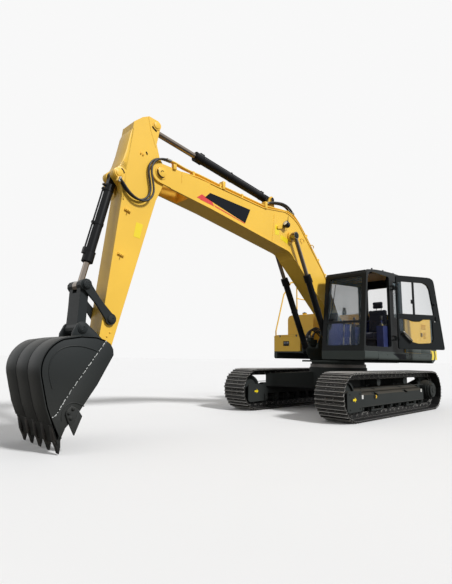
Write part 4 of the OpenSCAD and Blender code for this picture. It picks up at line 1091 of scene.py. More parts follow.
@dataclass
class UpperWorks:
    """Stripes, hinges, lids, lamps, hoses and tread of the slewing upper."""

    side: float = 1.365
    floor: float = 1.31
    corner_middle: Flat = (-2.461, 1.205)
    corner_radius: float = 0.16
    rear_radius: float = 2.899
    stripe_bow: float = 0.05
    stripe_width: float = 0.15
    muffler: Flat = (-1.91, -0.9)
    ports: Tuple[Spot, ...] = ((0.29, -0.52, 1.6), (0.34, -0.45, 1.6), (0.42, -0.525, 1.64),
        (0.475, -0.45, 1.64), (0.55, -0.52, 1.56), (0.6, -0.45, 1.56))

    def corner(self, way: float, z: float, out: float) -> Vector:
        """Gives a point outside the tail's rounded corner.

        Args:
            way: how far behind the corner's start it is, along the face.
            z: its height.
            out: how far off the face it is.

        Returns:
            The point.
        """
        turn, reach = max(way, 0.0) / self.corner_radius, self.corner_radius + out
        x, y = self.corner_middle
        return Vector((x - min(way, 0.0) - reach * math.sin(turn), y + reach * math.cos(turn), z))

    def stripes(self) -> None:
        """Makes the two bowed yellow stripes on each rear corner, and on the left the sill and a dark patch
        that is painted shadow of the open cab door.
        """
        form = Form(Coat.SIGN)
        for start in (-0.333, -0.11):
            made = bmesh.ops.create_grid(form.mesh, x_segments=8, y_segments=12, size=0.5)["verts"]
            for vert in made:
                share = vert.co.y + 0.5
                way = start + self.stripe_bow * math.sin(share * math.pi) + self.stripe_width * (vert.co.x
                    + 0.5)
                vert.co = self.corner(way, 1.165 + 0.225 * share, 0.0015)
            faces = list({f for v in made for f in v.link_faces})
            bmesh.ops.recalc_face_normals(form.mesh, faces=faces)
            bmesh.ops.solidify(form.mesh, geom=faces, thickness=0.003)
        bmesh.ops.recalc_face_normals(form.mesh, faces=form.mesh.faces[:])
        form.mirrored().piece("tail_stripes", "upper", "weight_black")
        # Dark patch on the left skirt under the cab: painted shadow cast by the open cab door.
        form = Form(Coat.DECAL)
        form.profile(((0.025, 1.275), (-0.63, 1.275), (-0.63, 1.16), (-0.306, 1.16)), self.side - 0.001, 0.0025)
        form.piece("skirt_painted_door_shadow", "upper", "deck_grey")
        form = Form(Coat.SKIRT)
        form.block((-1.498, self.side - 0.001, self.floor + 0.004), (-0.622, self.side + 0.005, 1.44), 0.002)
        form.block((-2.455, self.side - 0.001, self.floor - 0.004),
            (-1.5, self.side + 0.001, self.floor + 0.0125))
        form.block((-2.455, self.side - 0.001, self.floor + 0.012), (-2.126, self.side + 0.001, 1.44))
        form.piece("house_sill", "upper", "deck_grey")
        form = Form(Coat.SKIRT)
        form.block((-2.095, self.side - 0.001, self.floor + 0.014), (-1.504, self.side + 0.005, 1.44), 0.002)
        form.piece("door_sill", "left_door", "deck_grey")

    def skirt_trim(self) -> None:
        """Makes the seam strips and bolts of the side skirts, and the tread sheets of lid and walkways."""
        form = Form(Coat.CHARCOAL)
        for x in (-2.15, -0.925, 0.695):
            form.block((x - 0.004, self.side - 0.004, 1.16), (x + 0.004, self.side + 0.002, 1.27), 0.001)
        for x in (-1.9, -1.4, -0.7, -0.2, 0.3):
            form.bolt((x, self.side, 1.246), (0, 1, 0), 0.008)
        form.mirrored().piece("skirt_trim", "upper", "deck_grey")
        form = Form(Coat.TREAD)
        form.block((0.17, -1.27, 1.71), (0.69, -0.6, 1.7125), 0.001)
        form.piece("lid_tread", "toolbox_lid", "panel_yellow")
        form = Form(Coat.TREAD)
        form.block((-0.5, -1.18, 2.25), (-0.06, -0.62, 2.2525), 0.001)
        form.block((-1.15, -1.25, 2.2), (-0.98, -0.64, 2.2025), 0.001)
        form.block((-0.54, 0.25, self.floor), (-0.28, 0.37, self.floor + 0.003), 0.001)
        form.piece("walk_tread", "upper", "panel_yellow")

    def rear(self, angle: float, z: float) -> Tuple[Vector, Vector]:
        """Gives a point on the counterweight's round rear, and the way out of it."""
        out = Vector((-math.cos(angle), math.sin(angle), 0))
        return out * self.rear_radius + Vector((0, 0, z)), out

    def counterweight(self) -> None:
        """Makes the plugs, towing pin and reflectors of the counterweight."""
        form = Form(Coat.CHARCOAL)
        for y in (-0.34, 0.34):
            form.bar(Z, (-2.52, y), (2.196, 2.208), 0.06, sides=28, soft=0.003)
        for step in range(-3, 4):
            spot, out = self.rear(math.radians(step * 8.0), 1.56)
            form.drum(spot - out * 0.004, spot + out * 0.004, 0.03, sides=20)
        form.block((-2.905, -0.15, 1.25), (-2.885, 0.15, 1.42), 0.008)
        form.bar(Z, (-2.89, 0), (1.29, 1.44), 0.03, sides=20, soft=0.004)
        form.piece("weight_trim", "upper", "weight_black")
        form = Form(Coat.RED)
        for side in SIDES:
            angle = side * math.radians(21.5)
            spot, half = self.rear(angle, 1.78)[0], Vector((0.006, 0.075, 0.03))
            form.block(spot - half, spot + half, 0.004, 2, Matrix.Rotation(-angle, 4, "Z"))
        form.piece("tail_reflectors", "upper", "weight_black")

    def doors(self) -> None:
        """Makes locks, handles, hinges and louvre blades of the side doors."""
        for name, body, side, latch, hinge, blades in (
                ("left_door_trim", "left_door", LEFT, -1.57, -2.113,
                    [(-1.858, -1.562, 1.9, 4), (-1.838, -1.682, 1.68, 5)]),
                ("right_door_trim", "right_door", RIGHT, -2.05, -1.247, [(-1.858, -1.562, 1.9, 4)])):
            y = side * self.side
            form = Form(Coat.BLACK)
            for half, low, high, inner, outer, soft in ((0.044, 1.709, 1.811, 0.0, 0.004, 0.001),
                    (0.034, 1.722, 1.798, 0.011, 0.015, 0.003)):
                near, far = sorted((y + side * inner, y + side * outer))
                form.block((latch - half, near, low), (latch + half, far, high), soft)
            form.use(Coat.ZINC).bar(Y, (latch, 1.742), (y + side * 0.012, y + side * 0.018), 0.011, sides=20)
            form.use(Coat.YELLOW)
            for x0, x1, z, count in blades:
                for number in range(count):
                    low = z + number * 0.032
                    slope = ((x0, -0.024, 0.002), (x1, -0.024, 0.002), (x1, 0.007, 0.012), (x0, 0.007, 0.012))
                    form.plate([(x, y + side * out, low + lift) for x, out, lift in slope], (0, 0, 0.003))
            form.piece(name, body, "panel_yellow")
            form = Form(Coat.YELLOW)
            for z in (1.318, 2.178):
                form.bar(Z, (hinge, side * 1.356), (z - 0.006, z + 0.006), 0.015, sides=20)
            form.piece(name.replace("trim", "hinges"), "upper", "panel_yellow")

    def roof(self) -> None:
        """Makes the hood's slots and handle, the tanks' covers, caps and glass, and the muffler's rings."""
        form = Form(Coat.YELLOW)
        for number in range(9):
            x = -1.98 + number * 0.055
            form.block((x - 0.017, -0.42, 2.328), (x + 0.017, 0.2, 2.338), 0.004)
        form.use(Coat.BLACK).hose([(-1.3, -0.22, 2.33), (-1.3, -0.22, 2.365), (-1.3, 0.02, 2.365),
            (-1.3, 0.02, 2.33)], 0.008, 8)
        form.piece("hood_trim", "hood", "panel_yellow")
        form = Form(Coat.YELLOW)
        for x, y, radius in ((-1.06, -0.9, 0.125), (-0.72, -0.79, 0.09)):
            form.bar(Z, (x, y), (2.198, 2.212), radius, sides=36, soft=0.003)
            for spot in circle((x, y), radius * 0.82, equal_turns(6)):
                form.bolt((*spot, 2.212), (0, 0, 1), 0.009)
        form.block((-1.198, -1.367, 1.42), (-1.196, -1.35, 2.12), 0.001)
        form.use(Coat.BLACK)
        form.bar(Z, (-0.88, -0.97), (2.253, 2.266), 0.052, 0.046, sides=28, soft=0.004)
        form.bar(Z, (0.0, -0.93), (2.29, 2.312), 0.062, 0.054, sides=28, soft=0.005)
        form.block((-0.03, -0.938, 2.31), (0.03, -0.922, 2.326), 0.004)
        form.piece("tank_caps", "upper", "panel_yellow")
        form = Form(Coat.GLASS)
        form.block((-0.562, -1.29, 1.62), (-0.556, -1.26, 1.8), 0.003)
        form.use(Coat.ZINC)
        for z in (1.605, 1.815):
            form.bar(X, (-1.275, z), (-0.562, -0.548), 0.013, sides=6)
        form.piece("level_glass", "upper", "panel_yellow")
        form = Form(Coat.EXHAUST)
        for low, high, radius, far, soft in ((2.196, 2.222, 0.085, 0.08, 0.004),
                (2.5, 2.518, 0.064, 0.064, 0.003), (2.6, 2.618, 0.046, 0.046, 0.002)):
            form.bar(Z, self.muffler, (low, high), radius, far, sides=36, soft=soft)
        form.use(Coat.DARK).bar(Z, self.muffler, (2.6195, 2.6215), 0.037, sides=28)
        form.piece("muffler_rings", "upper", "exhaust")

    def toolbox(self) -> None:
        """Makes the lamp in the toolbox's front, the handrails' feet, and the lid's latches and hinges."""
        form = Form(Coat.BLACK)
        form.block((0.687, -1.08, 1.44), (0.697, -0.901, 1.555), 0.006)
        form.use(Coat.SCREEN).block((0.694, -1.064, 1.456), (0.701, -0.917, 1.539), 0.004)
        form.use(Coat.DARK).block((0.6995, -1.0, 1.458), (0.7025, -0.985, 1.537), 0.001)
        form.piece("toolbox_lamp", "upper", "lamp_black")
        form = Form(Coat.YELLOW)
        form.hose([(0.701, -1.365, 1.672), (0.702, -1.0, 1.672), (0.701, -0.58, 1.672)], 0.004, 8)
        for x, y, z in ((0.67, -1.335, 1.686), (-0.1, -1.245, 2.25), (-1.13, -1.245, 2.2)):
            form.block((x - 0.045, y - 0.028, z), (x + 0.03, y + 0.045, z + 0.01), 0.003)
            form.bolt((x - 0.03, y + 0.03, z + 0.01), (0, 0, 1), 0.009)
        for x, z in ((-0.1, 2.725), (-1.13, 2.725)):
            form.bar(Z, (x, -1.245), (z - 0.018, z + 0.018), 0.02, sides=24, soft=0.003)
        form.piece("handrail_feet", "upper", "rail_yellow")
        form = Form(Coat.BLACK)
        for y in (-1.18, -0.68):
            form.block((0.701, y - 0.02, 1.66), (0.709, y + 0.02, 1.705), 0.003)
            form.use(Coat.ZINC).bar(X, (y, 1.672), (0.706, 0.713), 0.01, sides=16).use(Coat.BLACK)
        form.piece("lid_latches", "toolbox_lid", "panel_yellow")
        form = Form(Coat.YELLOW)
        for y in (-1.18, -0.68):
            form.bar(Y, (0.153, 1.698), (y - 0.05, y + 0.05), 0.009, sides=20)
        form.piece("lid_hinges", "toolbox_lid", "panel_yellow")

    def valve_block(self) -> None:
        """Makes the fittings and hoses on the control valve beside the boom's foot."""
        form = Form(Coat.RUBBER)
        for number, (x, y, z) in enumerate(self.ports):
            far = 0.06 * number
            form.hose([(x, y, z), (x, y, z + 0.1), (x - 0.06, y + 0.04, z + 0.2 + far * 0.3),
                (x - 0.23, y + 0.11, z + 0.19 + far * 0.3), (x - 0.38 - far * 0.4, y + 0.17, z + 0.04),
                (x - 0.44 - far * 0.5, y + 0.19, 1.48), (x - 0.45 - far * 0.5, y + 0.19, 1.29)], 0.016, 12)
            form.hose([(0.64, y - 0.01 + 0.012 * (number % 3), 1.38 + 0.03 * number),
                (0.69, y, 1.37 + 0.03 * number), (0.7, y + 0.01, 1.33), (0.665, y + 0.02, 1.25)], 0.013, 10)
        form.piece("valve_hoses", "upper", "cylinder_black")
        form = Form(Coat.ZINC)
        for x, y, z in self.ports:
            form.bar(Z, (x, y), (z - 0.004, z + 0.04), 0.021, sides=6)
            form.bar(Z, (x, y), (z + 0.04, z + 0.06), 0.018, sides=20)
        form.use(Coat.SIGN)
        for y in (-0.525, -0.48, -0.435):
            form.bar(X, (y, 1.42), (0.64, 0.662), 0.017, sides=20, soft=0.003)
            form.bar(X, (y, 1.5), (0.64, 0.656), 0.012, sides=16)
        form.use(Coat.BLACK)
        for z in (1.36, 1.44, 1.52):
            form.block((0.246, -0.566, z), (0.644, -0.394, z + 0.006), 0.001)
        form.piece("valve_fittings", "upper", "deck_grey")
        form = Form(Coat.FRAME)
        for place, y, radius in (((BOOM.x, BOOM.z), 0.297, 0.066), ((0.83, 1.33), 0.372, 0.056)):
            form.cap(place, y, 0.01, radius, (0, THIRD, 2 * THIRD), 0.6, 0.01, sides=32, soft=0.003)
        form.mirrored().piece("deck_pin_ends", "upper", "deck_grey")

    def pump_bay(self) -> None:
        """Makes the caps and the hose on top of the engine."""
        form = Form(Coat.ENGINE)
        for number in range(6):
            x = -1.86 + number * 0.085
            form.bar(Z, (x, -0.12), (2.068, 2.088), 0.034, sides=20, soft=0.004)
        form.block((-1.9, -0.22, 2.066), (-1.42, -0.02, 2.078), 0.004)
        form.use(Coat.RUBBER).hose([(-1.9, 0.18, 2.06), (-1.92, 0.18, 2.11), (-1.88, -0.2, 2.13),
            (-1.82, -0.5, 2.11), (-1.82, -0.52, 2.06)], 0.03, 12)
        form.piece("engine_top", "upper", "engine_grey")

    def build(self) -> None:
        """Builds the upper's trim in order."""
        self.stripes()
        self.skirt_trim()
        self.counterweight()
        self.doors()
        self.roof()
        self.toolbox()
        self.valve_block()
        self.pump_bay()


@dataclass
class Seat:
    """The driver's seat: base, bellows and belt, with padded cushion, back and headrest."""

    x: float = -0.093
    y: float = 0.865
    floor: float = 1.34
    voxel: float = 0.012
    frames: int = 20
    rim: float = 0.026
    pressure: float = 4.0
    swelling: float = 0.012
    channel: float = 0.02
    pinch: float = 0.9

    def base(self) -> None:
        """Makes the seat's rail, bellows, shell and belt, drawn from the middle of its foot."""
        form = Form(Coat.DARK_TRIM).block((-0.195, -0.175, 0), (0.195, 0.175, 0.05), 0.012)
        for number in range(5):
            low, shrink = 0.052 + number * 0.036, 0.018 * (number % 2)
            form.block((-0.18 + shrink, -0.16 + shrink, low), (0.18 - shrink, 0.16 - shrink, low + 0.034), 0.01)
        form.block((-0.225, -0.225, 0.232), (0.24, 0.225, 0.268), 0.014)
        form.block((-0.33, -0.2, 0.4), (-0.3, 0.2, 0.93), 0.014)
        for side in SIDES:
            form.drum((-0.318, side * 0.06, 0.93), (-0.345, side * 0.06, 1.01), 0.007, sides=16)
            form.hose([(-0.25, side * 0.232, 0.25), (-0.31, side * 0.236, 0.33), (-0.32, side * 0.22, 0.43)],
                0.012, 10)
        form.use(Coat.BELT)
        form.plate([(-0.23, 0.234, 0.3), (-0.19, 0.236, 0.3), (-0.16, 0.2, 0.408), (-0.2, 0.2, 0.408)],
            (0, 0.003, 0))
        form.use(Coat.RED).block((-0.2, -0.246, 0.33), (-0.165, -0.23, 0.4), 0.004)
        made = form.turned(Matrix.Translation((self.x, self.y, self.floor))).piece("seat_base", "upper",
            "seat_cloth")
        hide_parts("seat")

    def pad(self, name: str, low: Point, high: Point, crown: Sequence[float],
            lines: Sequence[Tuple[int, float]], fill: float) -> None:
        """Makes one padded piece, blown up as cloth and sewn along lines.

        Args:
            name: the piece's name.
            low: its lowest corner.
            high: its highest corner.
            crown: how far it may swell along each axis.
            lines: sewn channels, each an axis and a place along it.
            fill: how tight it is filled, from 0 to 1; not used.
        """
        low, high = Vector(low), Vector(high)
        mesh = bmesh.new()
        made = bmesh.ops.create_cube(mesh, size=1.0)["verts"]
        bmesh.ops.scale(mesh, vec=high - low, verts=made)
        bmesh.ops.translate(mesh, vec=(low + high) / 2, verts=made)
        bmesh.ops.bevel(mesh, geom=mesh.edges[:], offset=self.rim, offset_type="OFFSET", affect="EDGES",
            segments=3, profile=0.5, material=-1)
        data = bpy.data.meshes.new(name)
        mesh.to_mesh(data)
        mesh.free()
        pad = added(name, data)
        grid = pad.modifiers.new("grid", "REMESH")
        grid.mode = "VOXEL"
        grid.voxel_size = self.voxel
        self._apply(pad)
        start = [v.co.copy() for v in pad.data.vertices]
        self._swell(pad)
        self._sew(pad, start, (low, high), crown, lines)
        for polygon in pad.data.polygons:
            polygon.use_smooth = True
        pad.data.materials.append(Coat.CLOTH.material())
        finer = pad.modifiers.new("finer", "SUBSURF")
        finer.levels = finer.render_levels = 1
        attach(pad, "upper")
        log.info("%s: %d faces on upper", name, len(pad.data.polygons))

    @staticmethod
    def _apply(pad: bpy.types.Object) -> None:
        """Makes what the modifiers show the piece's own mesh.

        Args:
            pad: the piece.
        """
        shown = pad.evaluated_get(bpy.context.evaluated_depsgraph_get())
        fresh = bpy.data.meshes.new_from_object(shown)
        old = pad.data
        pad.modifiers.clear()
        pad.data = fresh
        bpy.data.meshes.remove(old)

    def _swell(self, pad: bpy.types.Object) -> None:
        """Blows the pad up as cloth under a light pressure, without gravity.

        Args:
            pad: the piece.
        """
        cloth = pad.modifiers.new("cloth", "CLOTH")
        cloth.settings.use_pressure = True
        cloth.settings.uniform_pressure_force = self.pressure
        cloth.settings.quality = 4
        cloth.settings.effector_weights.gravity = 0.0
        cloth.point_cache.frame_start = 1
        cloth.point_cache.frame_end = self.frames
        for number in range(1, self.frames + 1):
            bpy.context.scene.frame_set(number)
        self._apply(pad)
        bpy.context.scene.frame_set(1)

    def _sew(self, pad: bpy.types.Object, start: Sequence[Vector], box: Tuple[Vector, Vector],
            crown: Sequence[float], lines: Sequence[Tuple[int, float]]) -> None:
        """Caps the swelling, crowns the faces and draws the sewn channels in.

        Args:
            pad: the piece.
            start: where its vertices were before it swelled.
            box: its lowest and highest corner.
            crown: how far it may swell along each axis.
            lines: sewn channels, each an axis and a place along it.
        """
        low, high = box
        middle, half = (low + high) / 2, (high - low) / 2
        for vertex, first in zip(pad.data.vertices, start):
            shift = vertex.co - first
            if shift.length > self.swelling:
                shift *= self.swelling / shift.length
            place = first + shift
            share = [(first[a] - middle[a]) / half[a] for a in range(3)]
            for axis in range(3):
                if crown[axis] and abs(share[axis]) > 0.55:
                    others = [1 - share[a] ** 2 for a in range(3) if a != axis]
                    place[axis] += math.copysign(crown[axis] * max(0.0, others[0]) * max(0.0, others[1]),
                        share[axis])
            for axis, spot in lines:
                near = abs(first[axis] - spot)
                if near < self.channel:
                    drawn = Vector([(place[a] - middle[a]) * (1 if a == axis else self.pinch)
                        for a in range(3)])
                    place = place.lerp(middle + drawn, (1 - near / self.channel) ** 2)
            vertex.co = place

    def build(self) -> None:
        """Builds the seat."""
        self.base()
        x, y, z = self.x, self.y, self.floor
        self.pad("seat_cushion", (x - 0.205, y - 0.222, z + 0.276), (x + 0.262, y + 0.222, z + 0.382),
            (0.0, 0.0, 0.014), ((1, y - 0.13), (1, y + 0.13), (0, x - 0.05), (0, x + 0.1)), 0.6)
        self.pad("seat_back", (x - 0.31, y - 0.212, z + 0.4), (x - 0.216, y + 0.212, z + 0.952),
            (0.012, 0.0, 0.0), ((1, y - 0.125), (1, y + 0.125), (2, z + 0.54), (2, z + 0.68), (2, z + 0.82)),
            0.6)
        self.pad("seat_headrest", (x - 0.318, y - 0.118, z + 0.985), (x - 0.252, y + 0.118, z + 1.14),
            (0.01, 0.0, 0.0), ((2, z + 1.062),), 0.7)


@dataclass
class Cab:
    """Seals, wiper, lining, controls, lamps and door fittings of the cab."""

    front: float = 1.257
    inner: float = 0.385
    outer: float = 1.345
    back: float = -0.613
    screen_foot: float = 1.37
    screen_slope: float = 0.12874
    door_width: float = 1.302
    door_angle: float = 152.0
    door_foot: float = 1.38
    seat_y: float = 0.865
    grip_out: float = 0.325
    lever_out: float = 0.075

    def screen(self, y: float, z: float, out: float) -> Vector:
        """Gives a point on the sloped front of the cab, a distance outside its face."""
        return Vector((self.front - 0.01 - (z - self.screen_foot) * self.screen_slope + out, y, z))

    def door_frame(self) -> Matrix:
        """Gives the way from the closed door to the open one.

        Returns:
            The matrix that turns the door about its hinge.
        """
        hinge = Vector((self.front - self.door_width, self.outer + 0.06, 0))
        turn = Matrix.Rotation(math.radians(self.door_angle), 4, "Z")
        return Matrix.Translation(hinge) @ turn @ Matrix.Translation(-hinge)

    def seals(self) -> None:
        """Makes the rubber seals of every fixed window."""
        form = Form(Coat.RUBBER)
        screen = rounded([(0.48, 1.42), (1.25, 1.42), (1.25, 2.85), (0.48, 2.85)], 0.07)
        form.ring([self.screen(y, z, -0.018) for y, z in screen], 0.014, (0.016, 0, 0))
        rear = rounded([(0.515, 2.07), (1.215, 2.07), (1.215, 2.83), (0.515, 2.83)], 0.05)
        form.ring([(self.back + 0.002, y, z) for y, z in rear], 0.014, (0.018, 0, 0))
        side = rounded([(-0.363, 1.95), (1.067, 1.95), (0.902, 2.8), (-0.363, 2.88)], 0.06)
        form.ring([(x, self.inner + 0.003, z) for x, z in side], 0.014, (0, 0.017, 0))
        quarter = rounded([(-0.463, 2.07), (-0.155, 2.07), (-0.155, 2.88), (-0.463, 2.88)], 0.04)
        form.ring([(x, self.outer - 0.02, z) for x, z in quarter], 0.012, (0, 0.017, 0))
        for at, low in ((1.916, 1.914), (1.881, 1.873)):
            near, far = (self.screen(0, at, out).x for out in (-0.03, -0.006))
            form.block((near, 0.482, low), (far, 1.248, low + 0.01), 0.003)
        form.piece("window_seals", "upper", "cab_grey")

    def wiper(self) -> None:
        """Makes the windscreen wiper with its motor cover."""
        form = Form(Coat.BLACK)
        form.block(self.screen(0.505, 1.925, -0.06), self.screen(0.625, 1.99, -0.004), 0.01)
        form.drum(self.screen(0.56, 1.96, -0.01), self.screen(0.56, 1.96, 0.014), 0.016, sides=20, soft=0.003)
        form.hose([self.screen(0.56, 1.96, 0.01), self.screen(0.59, 2.2, 0.014),
            self.screen(0.61, 2.43, 0.006)], 0.006, 8)
        form.use(Coat.RUBBER).hose([self.screen(0.585, 2.16, -0.006), self.screen(0.61, 2.43, -0.004),
            self.screen(0.64, 2.72, -0.006)], 0.007, 8)
        form.piece("wiper", "upper", "cab_grey")

    def outside(self) -> None:
        """Makes the cab's drip rails, seams, hinge bolts and hatch fittings."""
        form = Form(Coat.CHARCOAL)
        roof = ((1.01, 2.966), (0.7, 3.022), (0.2, 3.056), (-0.3, 3.072), (-0.48, 3.068))
        for y in (self.inner + 0.012, self.outer - 0.012):
            form.hose([(x, y, z) for x, z in roof], 0.011, 10)
        form.hose([(1.02, self.inner + 0.03, 2.962), (1.02, self.outer - 0.03, 2.962)], 0.01, 10)
        form.block((self.back - 0.004, self.inner + 0.06, 1.96), (self.back + 0.002, self.outer - 0.06, 1.972),
            0.001)
        for y in (self.inner + 0.07, self.outer - 0.07):
            for z in (1.5, 1.78):
                form.bolt((self.back, y, z), (-1, 0, 0), 0.009)
        form.use(Coat.BLACK)
        for x, z in ((0.72, 3.043), (0.212, 3.079), (-0.293, 3.095)):
            form.bar(Z, (x, self.outer - 0.045), (z - 0.002, z + 0.008), 0.019, 0.016, sides=20)
        for z in (1.61, 2.72):
            for shift in (-0.013, 0.013):
                form.bolt((-0.045 + shift * 0.1, 1.425, z + shift * 3.2), (0, 1, 0), 0.007)
        form.hose([(0.12, 0.78, 3.076), (0.12, 0.78, 3.108), (0.12, 0.95, 3.108), (0.12, 0.95, 3.076)], 0.007,
            8)
        form.ring([(-0.292, 0.643, 3.086), (0.19, 0.643, 3.07), (0.19, 1.087, 3.07), (-0.292, 1.087, 3.086)],
            0.02, (0, 0, 0.008))
        form.piece("cab_outside", "upper", "cab_grey")

    def lining(self) -> None:
        """Makes the roof lining, side panels, rear shelf, pillar covers and sun blind."""
        form = Form(Coat.HEADLINER)
        inner, outer = self.inner + 0.064, self.outer - 0.064
        form.profile(((0.94, 2.88), (0.68, 2.95), (0.18, 2.985), (-0.38, 3.0), (-0.38, 2.985), (0.18, 2.97),
            (0.68, 2.935), (0.93, 2.866)), inner, outer - inner, 0.004)
        form.piece("roof_lining", "upper", "trim_plastic")
        form = Form(Coat.TRIM)
        form.profile(((-0.545, 1.345), (1.15, 1.345), (1.105, 1.7), (1.02, 1.915), (-0.545, 1.935)), inner,
            0.028, 0.008)
        form.block((self.back + 0.064, inner + 0.03, 1.345), (self.back + 0.094, outer, 2.04), 0.01)
        form.block((self.back + 0.066, inner + 0.03, 2.03), (self.back + 0.19, outer, 2.058), 0.01)
        form.profile(((-0.54, 1.345), (-0.14, 1.345), (-0.14, 2.02), (-0.54, 2.03)), outer, -0.02, 0.006)
        form.piece("side_lining", "upper", "trim_plastic")
        form = Form(Coat.DARK_TRIM)
        for y0, y1 in ((inner, inner + 0.04), (outer - 0.03, outer)):
            corners = ((1.44, -0.085), (1.44, -0.06), (2.84, -0.06), (2.84, -0.1))
            form.plate([self.screen(y0, z, out) for z, out in corners], (0, y1 - y0, 0), 0.006)
        form.block((0.9, inner + 0.02, 2.79), (0.935, outer - 0.02, 2.86), 0.012)
        form.bar(Y, (0.88, 2.8), (inner + 0.04, outer - 0.04), 0.02, sides=24)
        for number in range(6):
            form.block((-0.54 + 0.012, 0.56 + number * 0.11, 1.56), (-0.512, 0.63 + number * 0.11, 1.9), 0.006)
        form.piece("dark_lining", "upper", "trim_plastic")

    def controls(self) -> None:
        """Makes grips, boots, arm rests, pedals, switches and the monitor."""
        form = Form(Coat.RUBBER)
        for side in SIDES:
            y = self.seat_y + side * self.grip_out
            for number in range(5):
                form.bar(Z, (0.147, y), (1.868 + number * 0.014, 1.884 + number * 0.014),
                    0.05 - number * 0.006, 0.044 - number * 0.006, sides=24)
            form.bar(Z, (0.147, y), (1.996, 2.084), 0.0265, 0.029, sides=24, soft=0.006)
            form.ball((0.147, y, 2.08), 0.0295, (1.0, 1.0, 0.55))
            form.block((-0.3, y - 0.055, 1.87), (0.06, y + 0.055, 1.915), 0.02, 3)
            lever = self.seat_y + side * self.lever_out
            form.bar(Z, (1.057, lever), (1.342, 1.4), 0.045, 0.02, sides=24)
            form.drum((1.02, lever, 1.86), (1.01, lever, 1.925), 0.019, 0.022, sides=20, soft=0.004)
            form.ball((1.009, lever, 1.93), 0.025)
            form.plate([(1.07, lever - 0.047, 1.342), (1.133, lever - 0.047, 1.442),
                (1.138, lever - 0.047, 1.44), (1.075, lever - 0.047, 1.34)], (0, 0.094, 0))
        form.block((1.15, 0.69, 1.342), (1.19, 1.04, 1.362), 0.006)
        form.piece("grips", "upper", "trim_plastic")
        form = Form(Coat.DARK_TRIM)
        for side in SIDES:
            y = self.seat_y + side * self.grip_out
            form.block((0.02, y - 0.06, 1.869), (0.225, y + 0.06, 1.882), 0.006)
            form.block((-0.25, y - 0.078, 1.4), (0.2, y + 0.078, 1.424), 0.008)
        form.block((1.004, 0.45, 1.942), (1.036, 0.64, 2.118), 0.01)
        form.hose([(1.03, 0.52, 1.945), (1.05, 0.5, 1.88), (1.06, 0.48, 1.76)], 0.016, 10)
        form.use(Coat.SCREEN).block((1.001, 0.47, 1.985), (1.006, 0.62, 2.1), 0.002)
        form.use(Coat.ZINC)
        for number in range(5):
            form.bar(X, (0.485 + number * 0.03, 1.962), (1.005, 1.0), 0.009, sides=16)
        form.use(Coat.SIGN).bar(Z, (0.18, 1.225), (1.88, 1.892), 0.014, sides=20)
        form.use(Coat.RED).bar(Z, (-0.02, 0.5), (1.914, 1.926), 0.014, sides=20)
        form.use(Coat.WHITE)
        for side in SIDES:
            for number in range(3):
                x, y = 0.075 + number * 0.03, self.seat_y + side * self.grip_out
                form.block((x, y - 0.02, 1.881), (x + 0.02, y, 1.886), 0.002)
        form.piece("switches", "upper", "trim_plastic")
        form = Form(Coat.ZINC)
        for side in SIDES:
            lever = self.seat_y + side * self.lever_out
            form.hose([(1.057, lever, 1.4), (1.057, lever, 1.56), (1.056, lever, 1.64), (1.042, lever, 1.72),
                (1.022, lever, 1.86)], 0.0135, 12)
        form.piece("lever_bars", "upper", "trim_plastic")

    def door(self) -> None:
        """Makes the open door's seals, handles, grab bar and latch, drawn from the closed door's corner."""
        foot = (self.front - self.door_width, self.outer + 0.003, self.door_foot)
        here = self.door_frame() @ Matrix.Translation(foot)
        low = rounded([(0.066, 0.418), (0.066, 0.668), (0.34, 0.64), (0.43, 0.605), (0.6, 0.605),
            (0.69, 0.655), (0.94, 0.668), (0.945, 0.23), (0.9, 0.145), (0.54, 0.125), (0.35, 0.165)], 0.03)
        high = rounded([(0.066, 0.765), (0.066, 1.486), (0.74, 1.486), (0.85, 1.44), (0.905, 1.34),
            (1.0, 0.765)], 0.03)
        edge = rounded([(0.06, 0.02), (1.205, 0.02), (1.02, 1.59), (0.06, 1.59)], 0.05)
        form = Form(Coat.RUBBER)
        for outline, width, depth in ((low, 0.01, 0.0435), (high, 0.01, 0.0435), (edge, 0.016, 0.0045)):
            form.ring([(x, -0.0025, z) for x, z in outline], width, (0, depth, 0))
        form.turned(here).piece("door_seals", "cab_door", "cab_grey")
        form = Form(Coat.ZINC)
        grab = ((0, -0.002, 0), (0, -0.03, 0), (0.002, -0.038, -0.002), (0.11, -0.0382, -0.098),
            (0.218, -0.038, -0.194), (0.22, -0.03, -0.196), (0.22, -0.002, -0.196))
        for away in (0.0, 0.034):
            form.hose([(x + 0.119 + away * 0.66, y, z + 0.349 + away * 0.75) for x, y, z in grab], 0.0115, 12)
        form.turned(here).piece("door_grab", "cab_door", "cab_grey")
        form = Form(Coat.BLACK)
        form.block((1.01, -0.0029, 0.642), (1.085, 0.003, 0.748), 0.001)
        form.block((1.02, 0.036, 0.65), (1.12, 0.052, 0.69), 0.008)
        form.hose([(1.03, 0.036, 0.72), (1.03, 0.062, 0.72), (1.11, 0.062, 0.72), (1.11, 0.036, 0.72)], 0.008,
            8)
        form.block((0.4, 0.002, 1.0), (0.44, 0.016, 1.09), 0.004)
        form.ball((1.0, -0.018, 1.01), 0.024, (1, 0.8, 1))
        form.bar(Y, (1.0, 1.01), (-0.014, 0.004), 0.01, sides=16)
        for z in (0.23, 1.34):
            form.block((0.036, -0.0025, z - 0.045), (0.064, 0.004, z + 0.045), 0.001)
        form.use(Coat.WHITE).bar(Y, (1.0, 0.62), (-0.001, -0.005), 0.011, sides=16)
        form.use(Coat.ZINC).bar(Y, (1.06, 0.67), (0.05, 0.056), 0.01, sides=16)
        form.turned(here).piece("door_fittings", "cab_door", "cab_grey")

    def build(self) -> None:
        """Builds the cab's pieces in order."""
        self.seals()
        self.wiper()
        self.outside()
        self.lining()
        self.controls()
        self.door()
        Seat().build()


